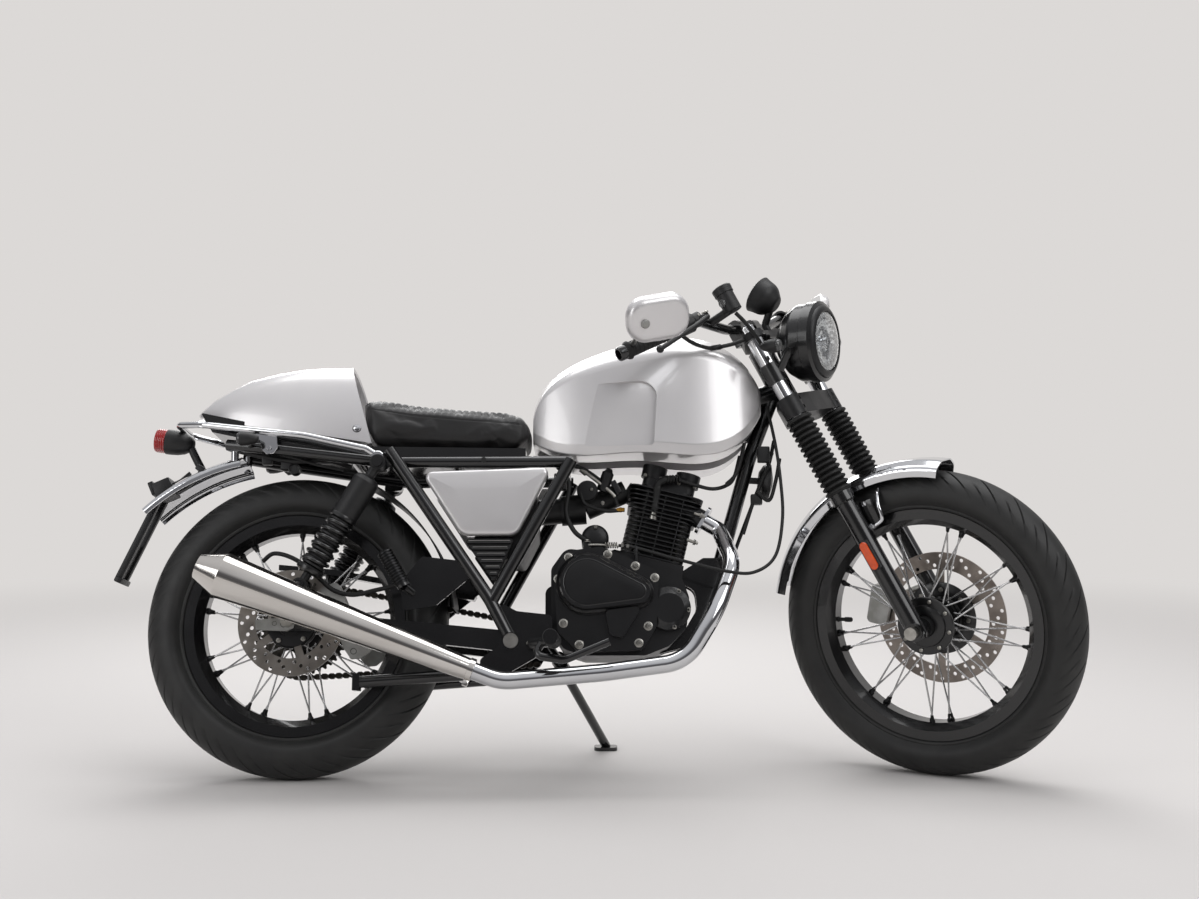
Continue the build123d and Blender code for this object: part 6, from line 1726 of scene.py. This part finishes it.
@dataclass
class RunningGear:
    """Coil springs, peg rubbers, axle plates, fork bridge and clamps on the chassis."""

    place: Matrix
    fork: Matrix
    shock_foot: Spot = (26, 136, 380)
    shock_top: Spot = (176, 136, 633)
    coil_radius: float = 25.6
    coil_turns: float = 6.5
    coil_low: float = 44.0
    coil_high: float = 160.0
    wire_radius: float = 4.0
    low_collar: Pairs = ((22, 30), (28.6, 33), (29.4, 35), (29.4, 41), (26, 43), (22, 43.4))
    high_collar: Pairs = ((27, 156), (29.6, 158), (29.6, 164), (28.6, 166))
    rider_rib: Pairs = ((15.6, 2), (15.6, 6), (14.2, 7.2), (14.2, 8.8))
    pillion_rib: Pairs = ((15.4, 1), (15.4, 3.4), (13.4, 4.4), (13.4, 6.2))
    axle_plate: Pairs = ((-66, 314), (-30, 318), (2, 317), (14, 308), (12, 298), (0, 291), (-64, 294))
    lug: Pairs = ((100, 286), (170, 282), (168, 252), (150, 238), (128, 236), (114, 256))
    holes: tuple[tuple[float, float, float, float], ...] = (
        (-26, 307, 4.6, 117.2), (-7, 306, 7, 117.2), (133, 252, 6.4, 104)
    )
    bridge_half: Spots = ((96, 20, 292), (98, 52, 286), (92, 68, 262), (84, 70, 232), (60, 72, 226))
    silencer_front: Spot = (378, -168, 208)
    silencer_rear: Spot = (-116, -204, 393)
    clamp_band: Pairs = ((21.2, 0), (23.6, 0.6), (23.6, 11.4), (21.2, 12))
    header_studs: Spots = ((840, -58, 536), (824, -58, 480))
    stud_axis: Spot = (0.93, 0, -0.32)
    stud: Pairs = ((3.4, -14), (3.4, 9), (2.4, 10))

    def springs(self) -> None:
        """Open coil of round wire on each rear shock absorber, with its collars."""
        bench, collars = Bench(self.place), Bench(self.place)
        steps = int(self.coil_turns * 24)
        for side in (-1, 1):
            foot = Vector(self.shock_foot) * Vector((1, side, 1))
            along = (Vector(self.shock_top) - Vector(self.shock_foot)).normalized()
            along.y = 0.0
            at = seat(foot, along)
            points = []
            for k in range(steps + 1):
                a = tau * k / 24
                rise = self.coil_low + (self.coil_high - self.coil_low) * k / steps
                points.append(at @ Vector((self.coil_radius * cos(a), self.coil_radius * sin(a), rise)))
            bench.tube(points, self.wire_radius, 10, 1)
            collars.lathe(at, self.low_collar, 40)
            collars.lathe(at, self.high_collar, 40)
            collars.bolt(foot + Vector((0, side * 22, 0)), (0, side, 0), 7.0)
        bench.done("shock_springs", Body.FRAME, Paint.BLACK_ENAMEL)
        collars.done("shock_collars", Body.FRAME, Paint.BLACK_COVER)

    def pegs(self) -> None:
        """Ribbed rubbers of the rider's and pillion's pegs."""
        rider, pillion = Bench(self.place), Bench(self.place)
        rider_ribs = [(radius, out + k * 8) for k in range(11) for radius, out in self.rider_rib]
        pillion_ribs = [(radius, out + k * 6) for k in range(12) for radius, out in self.pillion_rib]
        for side in (-1, 1):
            at = seat((538.8, side * 206, 262), (-0.04, side, 0))
            rider.lathe(at, [(13, 0), *rider_ribs, (15, 92), (12, 94)], 28)
            at = seat((196, side * 150, 446), (42, 0, -70))
            pillion.lathe(at, [(10, -3), (14, -1), *pillion_ribs, (13, 76)], 30)
        rider.done("rider_peg_rubbers", Body.FRAME, Paint.MOULDED_RUBBER)
        pillion.done("pillion_peg_rubbers", Body.FRAME, Paint.BLACK_OXIDE)

    def plates(self) -> None:
        """Bright axle adjuster plates on the swingarm's ends, and the lug under each arm."""
        bright, dark = Bench(self.place), Bench(self.place)
        for side in (-1, 1):
            face = seat((0, side * 113.4, 0), (0, side, 0), (1, 0, 0))
            bright.prism(face, [(x, -side * z) for x, z in self.axle_plate], 0.0, 4.0, 1.4)
            face = seat((0, side * 100, 0), (0, side, 0), (1, 0, 0))
            bright.prism(face, [(x, -side * z) for x, z in self.lug], -4.0, 4.0, 1.0)
            for x, z, radius, y in self.holes:
                rim = [(radius, -1), (radius, 0.5), (radius * 0.86, 0.7), (radius * 0.8, -0.6)]
                dark.lathe(seat((x, side * y, z), (0, side, 0)), rim, 24)
        bright.done("axle_plates", Body.FRAME, Paint.BLASTED_ALUMINIUM)
        dark.done("axle_plate_holes", Body.FRAME, Paint.BLACK_OXIDE)

    def bridge(self) -> None:
        """Chromed bridge that carries the front fender, with black brackets to both legs."""
        bright, dark = Bench(self.fork), Bench(self.fork)
        for side in (-1, 1):
            bright.tube([(x, side * y, z) for x, y, z in self.bridge_half], 4.4, 12)
            dark.block(laid((68, side * 70, 254), 8), (30, 8, 56), 3.0)
            bright.bolt((60, side * 77, 228), (0, side, 0))
            bright.bolt((68, side * 75, 276), (0, side, 0), 5.0)
        bright.done("fender_bridge", Body.STEERING, Paint.CHROME)
        dark.done("fender_brackets", Body.STEERING, Paint.BLACK_ENAMEL)

    def clamp(self) -> None:
        """Band clamp where the header pipe enters the silencer, and the header flange's nuts."""
        bench, nuts = Bench(self.place), Bench(self.place)
        front = Vector(self.silencer_front)
        along = (Vector(self.silencer_rear) - front).normalized()
        at = seat(front - along * 2.0, along)
        bench.lathe(at, self.clamp_band, 36, closed=True)
        ear = at @ Matrix.Rotation(radians(200), 4, "Z") @ Matrix.Translation((28, 0, 6))
        bench.block(ear, (12, 14, 11), 2.0)
        for point in self.header_studs:
            nuts.lathe(seat(point, self.stud_axis), self.stud, 12)
            nuts.bolt(point, self.stud_axis, 6.4)
        bench.done("silencer_clamp", Body.FRAME, Paint.STAINLESS)
        nuts.done("header_nuts", Body.FRAME, Paint.ZINC_STEEL)

    def build(self) -> None:
        """Makes every piece of the running gear's trim."""
        self.springs()
        self.pegs()
        self.plates()
        self.bridge()
        self.clamp()


@dataclass
class Controls:
    """Cables, hoses and wires, each held all along by the frame or by the fork."""

    place: Matrix
    fork: Matrix
    clutch_cable: Spots = (
        (668, -106, 465.5), (700, -110, 461), (790, -132, 432), (886, -160, 404), (941, -154, 404),
        (985, -134, 440), (1004, -112, 520), (1004, -98, 600), (998, -78, 680), (985, -54, 770),
    )
    clutch_radius: float = 3.4
    inner_wire: Spots = ((606, -104, 467), (624, -105, 467), (642, -106, 466))
    spring_start: Spot = (640, -106, 466)
    spring_radius: float = 5.6
    spring_length: float = 27.0
    spring_turns: int = 6
    adjuster_nuts: Pairs = ((673, 465), (684, 463.6))
    nut: Pairs = ((6.4, 0), (6.4, 5), (5.2, 6))
    throttle_cable: Spots = (
        (-38, -236, 752), (-34, -206, 728), (-22, -168, 708), (-4, -146, 702), (12, -129, 698),
        (30, -112, 696), (48, -84, 690), (56, -40, 676),
    )
    front_hose: Spots = ((60, -158, 744), (66, -150, 712), (60, -120, 668), (30, -62, 640), (20, -50, 560))
    bar_cable_radius: float = 4.2
    cable_sleeve: Pairs = ((5.4, -2), (6, 0), (6, 20), (5, 22))
    cable_end: Pairs = ((5.2, 0), (6.4, 1), (6.4, 12), (5.2, 13))
    rear_hose: Spots = (
        (262, -116, 400), (214, -112, 384), (171, -108, 374), (127, -104, 366), (86, -104, 377),
        (50, -104, 408), (6, -102, 440), (-36, -98, 452), (-60, -96, 436),
    )
    hose_radius: float = 4.6
    head_looms: tuple[tuple[float, Pairs], ...] = (
        (-34, ((1000, 700), (988, 650), (966, 600), (950, 560), (930, 500))),
        (-42, ((1010, 660), (1000, 610), (985, 570), (960, 590))),
        (38, ((1004, 690), (984, 640), (960, 580), (936, 520), (905, 440))),
        (-56, ((935, 690), (925, 650), (913, 620), (895, 602))),
    )
    tank_looms: tuple[tuple[float, Spots], ...] = (
        (4.2, ((560, -60, 646), (600, -52, 634), (650, -44, 596), (668, -44, 560))),
        (5.0, ((540, -78, 640), (566, -84, 600), (560, -86, 540), (576, -88, 500), (600, -84, 480))),
        (4.2, ((590, -62, 583), (600, -62, 560), (640, -60, 546), (677, -56, 548))),
    )
    connectors: tuple[Spots, ...] = (
        ((960, -30, 574), (24, 18, 22)), ((976, -44, 668), (26, 16, 34)),
        ((548, -74, 604), (26, 24, 34)),
    )

    def clutch(self) -> None:
        """Clutch cable from its arm on the engine to the steering head, with its spring and adjuster."""
        cable, metal, dark = (Bench(self.place) for _ in range(3))
        cable.tube(self.clutch_cable, self.clutch_radius, 12, 10)
        x, y, z = self.spring_start
        steps = self.spring_turns * 16
        points = []
        for k in range(steps + 1):
            a = tau * k / 16
            across, rise = self.spring_radius * cos(a), self.spring_radius * sin(a)
            points.append((x + self.spring_length * k / steps, y + across, z + rise))
        metal.tube(points, 1.2, 8, 1)
        metal.tube(self.inner_wire, 2.6, 10)
        for x, z in self.adjuster_nuts:
            at = seat((x, -107, z), (1, 0, -0.1))
            metal.skin([metal.ring(at, radius, height, 6) for radius, height in self.nut])
        dark.block(laid((704, -104, 442)), (5, 22, 44), 1.5)
        dark.block(laid((604, -98, 462)), (16, 12, 30), 3.0)
        metal.bolt((604, -104, 474), (0, -0.2, 1))
        cable.done("clutch_cable", Body.FRAME, Paint.MOULDED_RUBBER)
        metal.done("clutch_adjuster", Body.FRAME, Paint.ZINC_STEEL)
        dark.done("clutch_brackets", Body.FRAME, Paint.BLACK_CASTING)

    def throttle(self) -> None:
        """Throttle cable from the right switch housing and front brake hose, both back to the upper yoke."""
        cable, ends = Bench(self.fork), Bench(self.fork)
        cable.tube(self.throttle_cable, self.bar_cable_radius, 12, 8)
        cable.tube(self.front_hose, self.bar_cable_radius, 12, 8)
        ends.lathe(seat(self.throttle_cable[2], (18, 22, -6)), self.cable_sleeve, 18)
        ends.lathe(seat((56, -74, 687), (0.2, 1, -0.2)), self.cable_end, 18)
        cable.done("throttle_cable", Body.STEERING, Paint.MOULDED_RUBBER)
        ends.done("throttle_cable_ends", Body.STEERING, Paint.BLACK_OXIDE)

    def hoses(self) -> None:
        """Rear brake hose along the swingarm, and the wiring behind the steering head and under the tank."""
        hose, wires, boxes = (Bench(self.place) for _ in range(3))
        hose.tube(self.rear_hose, self.hose_radius, 12, 8)
        for y, points in self.head_looms:
            wires.tube([(x, y, z) for x, z in points], 4.0, 10)
        for radius, route in self.tank_looms:
            wires.tube(route, radius, 10)
        for spot, size in self.connectors:
            boxes.block(laid(spot), size, 3.0)
        hose.done("rear_brake_hose", Body.FRAME, Paint.MOULDED_RUBBER)
        wires.done("frame_wiring", Body.FRAME, Paint.MOULDED_RUBBER)
        boxes.done("wiring_connectors", Body.FRAME, Paint.BLACK_ABS)

    def build(self) -> None:
        """Makes every cable and hose."""
        self.clutch()
        self.throttle()
        self.hoses()


# Studio


@dataclass
class Studio:
    """Pale floor and backdrop, soft lamps and the camera at the photograph's place."""

    focal_px: float = 1520.0
    frame_px: tuple[int, int] = (1199, 899)
    sensor: float = 36.0
    eye_mm: Spot = (627.9, -3108.9, 676.7)
    floor_half: float = 9.0
    backdrop_rise: float = 5.0
    backdrop_bend: float = 2.5
    bend_steps: int = 14
    floor_colour: str = "cfccca"
    floor_roughness: float = 0.85
    fade: Pair = (1.5, 5.5)
    backdrop_colour: str = "dcd9d7"
    sky_strength: float = 0.85
    sky_bands: tuple[tuple[float, str], ...] = (
        (0, "8e8c8c"), (0.10, "5f5e60"), (0.34, "6e6d70"), (0.55, "cfcfd2"), (1, "f2f2f4")
    )
    aim: Spot = (0, 0, 0.5)
    lamps: tuple[tuple[str, Spot, Pair, float], ...] = (
        ("key_softbox", (2.9, -3, 3.2), (3.2, 2.4), 64.0),
        ("fill_softbox", (-3.2, -3, 1.8), (1.8, 2.2), 32.0),
        ("top_softbox", (0.2, 0.5, 3.6), (3.8, 2.2), 66.0),
        ("rear_softbox", (-0.6, 3.2, 2.6), (3, 1.2), 56.0),
    )

    def camera(self) -> None:
        """Places the camera where the photograph was taken from, level and looking along +Y."""
        data = bpy.data.cameras.new("camera")
        data.sensor_width = self.sensor
        data.lens = self.focal_px / self.frame_px[0] * self.sensor
        eye = bpy.data.objects.new("camera", data)
        x, y, z = self.eye_mm
        eye.location = ((x - PARKING.shift[0]) * MM, (y - PARKING.shift[1]) * MM, z * MM)
        eye.rotation_euler = (radians(90), 0, 0)
        bpy.context.scene.collection.objects.link(eye)
        bpy.context.scene.camera = eye

    def glow(self, tree: Tree, kind: str) -> bpy.types.Node:
        """Even pale tone of the backdrop, from an emission or background node."""
        return add_node(tree, kind, values={"Color": linear(self.backdrop_colour), "Strength": 1.0})

    def ground(self) -> bpy.types.Material:
        """Matt paint near the motorcycle that passes into the backdrop's even tone further off.

        Returns:
            The material; only the camera, mirrors and glass see the even tone.
        """
        material = bpy.data.materials.new("matt_painted_floor")
        material.use_nodes = True
        tree = material.node_tree
        shader = tree.nodes["Principled BSDF"]
        shader.inputs["Base Color"].default_value = linear(self.floor_colour)
        shader.inputs["Roughness"].default_value = self.floor_roughness
        where = add_node(tree, "ShaderNodeTexCoord")
        distance = add_node(tree, "ShaderNodeVectorMath", {0: where.outputs["Object"]}, operation="LENGTH")
        near, far = self.fade
        faded = add_node(tree, "ShaderNodeMapRange", {"Value": distance.outputs["Value"]},
                         {"From Min": near, "From Max": far}, interpolation_type="SMOOTHSTEP")
        path = add_node(tree, "ShaderNodeLightPath").outputs
        share = path["Is Camera Ray"]
        for socket, operation in (
            (path["Is Glossy Ray"], "MAXIMUM"), (path["Is Transmission Ray"], "MAXIMUM"),
            (faded.outputs["Result"], "MULTIPLY"),
        ):
            share = add_node(tree, "ShaderNodeMath", {0: share, 1: socket}, operation=operation).outputs[0]
        glow = self.glow(tree, "ShaderNodeEmission")
        mixed = add_node(tree, "ShaderNodeMixShader",
                         {0: share, 1: shader.outputs["BSDF"], 2: glow.outputs["Emission"]})
        tree.links.new(mixed.outputs["Shader"], tree.nodes["Material Output"].inputs["Surface"])
        return material

    def floor(self) -> None:
        """Pale matt floor that runs up into a backdrop."""
        mesh = bmesh.new()
        half, bend = self.floor_half, self.backdrop_bend
        profile = [(-half * 1.4, 0), (half - bend, 0)]
        for i in range(1, self.bend_steps + 1):
            a = pi / 2 * i / self.bend_steps
            profile.append((half - bend + bend * sin(a), bend - bend * cos(a)))
        profile.append((half, self.backdrop_rise + bend))
        left, right = ([mesh.verts.new((x, y, z)) for y, z in profile] for x in (-half * 1.6, half * 1.6))
        for i in range(len(profile) - 1):
            mesh.faces.new((left[i], right[i], right[i + 1], left[i + 1]))
        bmesh.ops.recalc_face_normals(mesh, faces=mesh.faces)
        data = bpy.data.meshes.new("floor")
        mesh.to_mesh(data)
        mesh.free()
        data.polygons.foreach_set("use_smooth", [True] * len(data.polygons))
        data.materials.append(self.ground())
        piece = bpy.data.objects.new("floor", data)
        bpy.context.scene.collection.objects.link(piece)

    def sky(self) -> None:
        """Studio light that is bright overhead and dim low down, so that polished metal shows bands."""
        world = bpy.data.worlds.new("studio")
        world.use_nodes = True
        bpy.context.scene.world = world
        tree = world.node_tree
        where = add_node(tree, "ShaderNodeTexCoord")
        parts = add_node(tree, "ShaderNodeSeparateXYZ", {0: where.outputs["Generated"]})
        bands = ramp(tree, parts.outputs["Z"], self.sky_bands)
        light = add_node(tree, "ShaderNodeBackground", {"Color": bands}, {"Strength": self.sky_strength})
        plain = self.glow(tree, "ShaderNodeBackground")
        # The camera itself sees the plain backdrop instead of the bands
        seen = add_node(tree, "ShaderNodeLightPath").outputs["Is Camera Ray"]
        mixed = add_node(tree, "ShaderNodeMixShader",
                         {0: seen, 1: light.outputs["Background"], 2: plain.outputs["Background"]})
        tree.links.new(mixed.outputs["Shader"], tree.nodes["World Output"].inputs["Surface"])

    def lamp(self, name: str, place: Point, size: Pair, power: float) -> None:
        """Soft rectangular lamp aimed at the motorcycle.

        Args:
            name: Name of the lamp.
            place: Position in metres.
            size: Width and height in metres.
            power: Power in watts.
        """
        data = bpy.data.lights.new(name, "AREA")
        data.shape = "RECTANGLE"
        data.size, data.size_y = size
        data.energy = power
        lamp = bpy.data.objects.new(name, data)
        lamp.location = place
        aim = Vector(self.aim) - Vector(place)
        lamp.rotation_euler = aim.to_track_quat("-Z", "Y").to_euler()
        bpy.context.scene.collection.objects.link(lamp)

    def build(self) -> None:
        """Builds the whole studio."""
        self.camera()
        self.floor()
        for name, place, size, power in self.lamps:
            self.lamp(name, place, size, power)
        self.sky()
        bpy.context.scene.view_settings.view_transform = "Standard"


def main() -> None:
    """Builds every sub-assembly in order and reports it."""
    logging.basicConfig(level=logging.INFO, format="%(name)s: %(message)s")
    for paint, nodes in NODE_FINISHES.items():
        for name in nodes:
            dress(NODES[name], paint)
            LOG.info("%s finished in %s", name, paint.value.name)
    bike, fork = PARKING.bike(), PARKING.fork()
    front, rear = PARKING.front_wheel(), PARKING.rear_wheel()
    Tyre(
        "front_tyre", Body.FRONT_WHEEL, front, PARKING.front_radius, crown=50.0, rim_seat=PARKING.front_seat,
        bead_half=31.0,
    ).build()
    Tyre(
        "rear_tyre", Body.REAR_WHEEL, rear, PARKING.rear_radius, crown=60.0, rim_seat=PARKING.rear_seat,
        bead_half=38.0, pitches=50,
    ).build()
    WheelTrim(
        "front", Body.FRONT_WHEEL, front, PARKING.front_seat, flange_y=30.0, disc_y=62.0,
        carrier_radius=76.0, boss_radius=38.0, screws=8, valve_angle=152.0,
    ).build()
    WheelTrim(
        "rear", Body.REAR_WHEEL, rear, PARKING.rear_seat, flange_y=32.0, disc_y=-80.0,
        carrier_radius=52.0, boss_radius=27.0, screws=5, valve_angle=40.0,
    ).build()
    for part in (ForkTrim(fork), BarTrim(fork), Mirror(fork), Headlamp(fork), Gauge(fork), SeatCushion(bike),
                 Tail(bike), PlateBracket(bike), Indicators(bike, fork), SidePanels(bike), EngineTrim(bike),
                 RunningGear(bike, fork), Controls(bike, fork), Studio()):
        part.build()
        LOG.info("%s built", type(part).__name__)


if __name__ == "__main__":
    main()
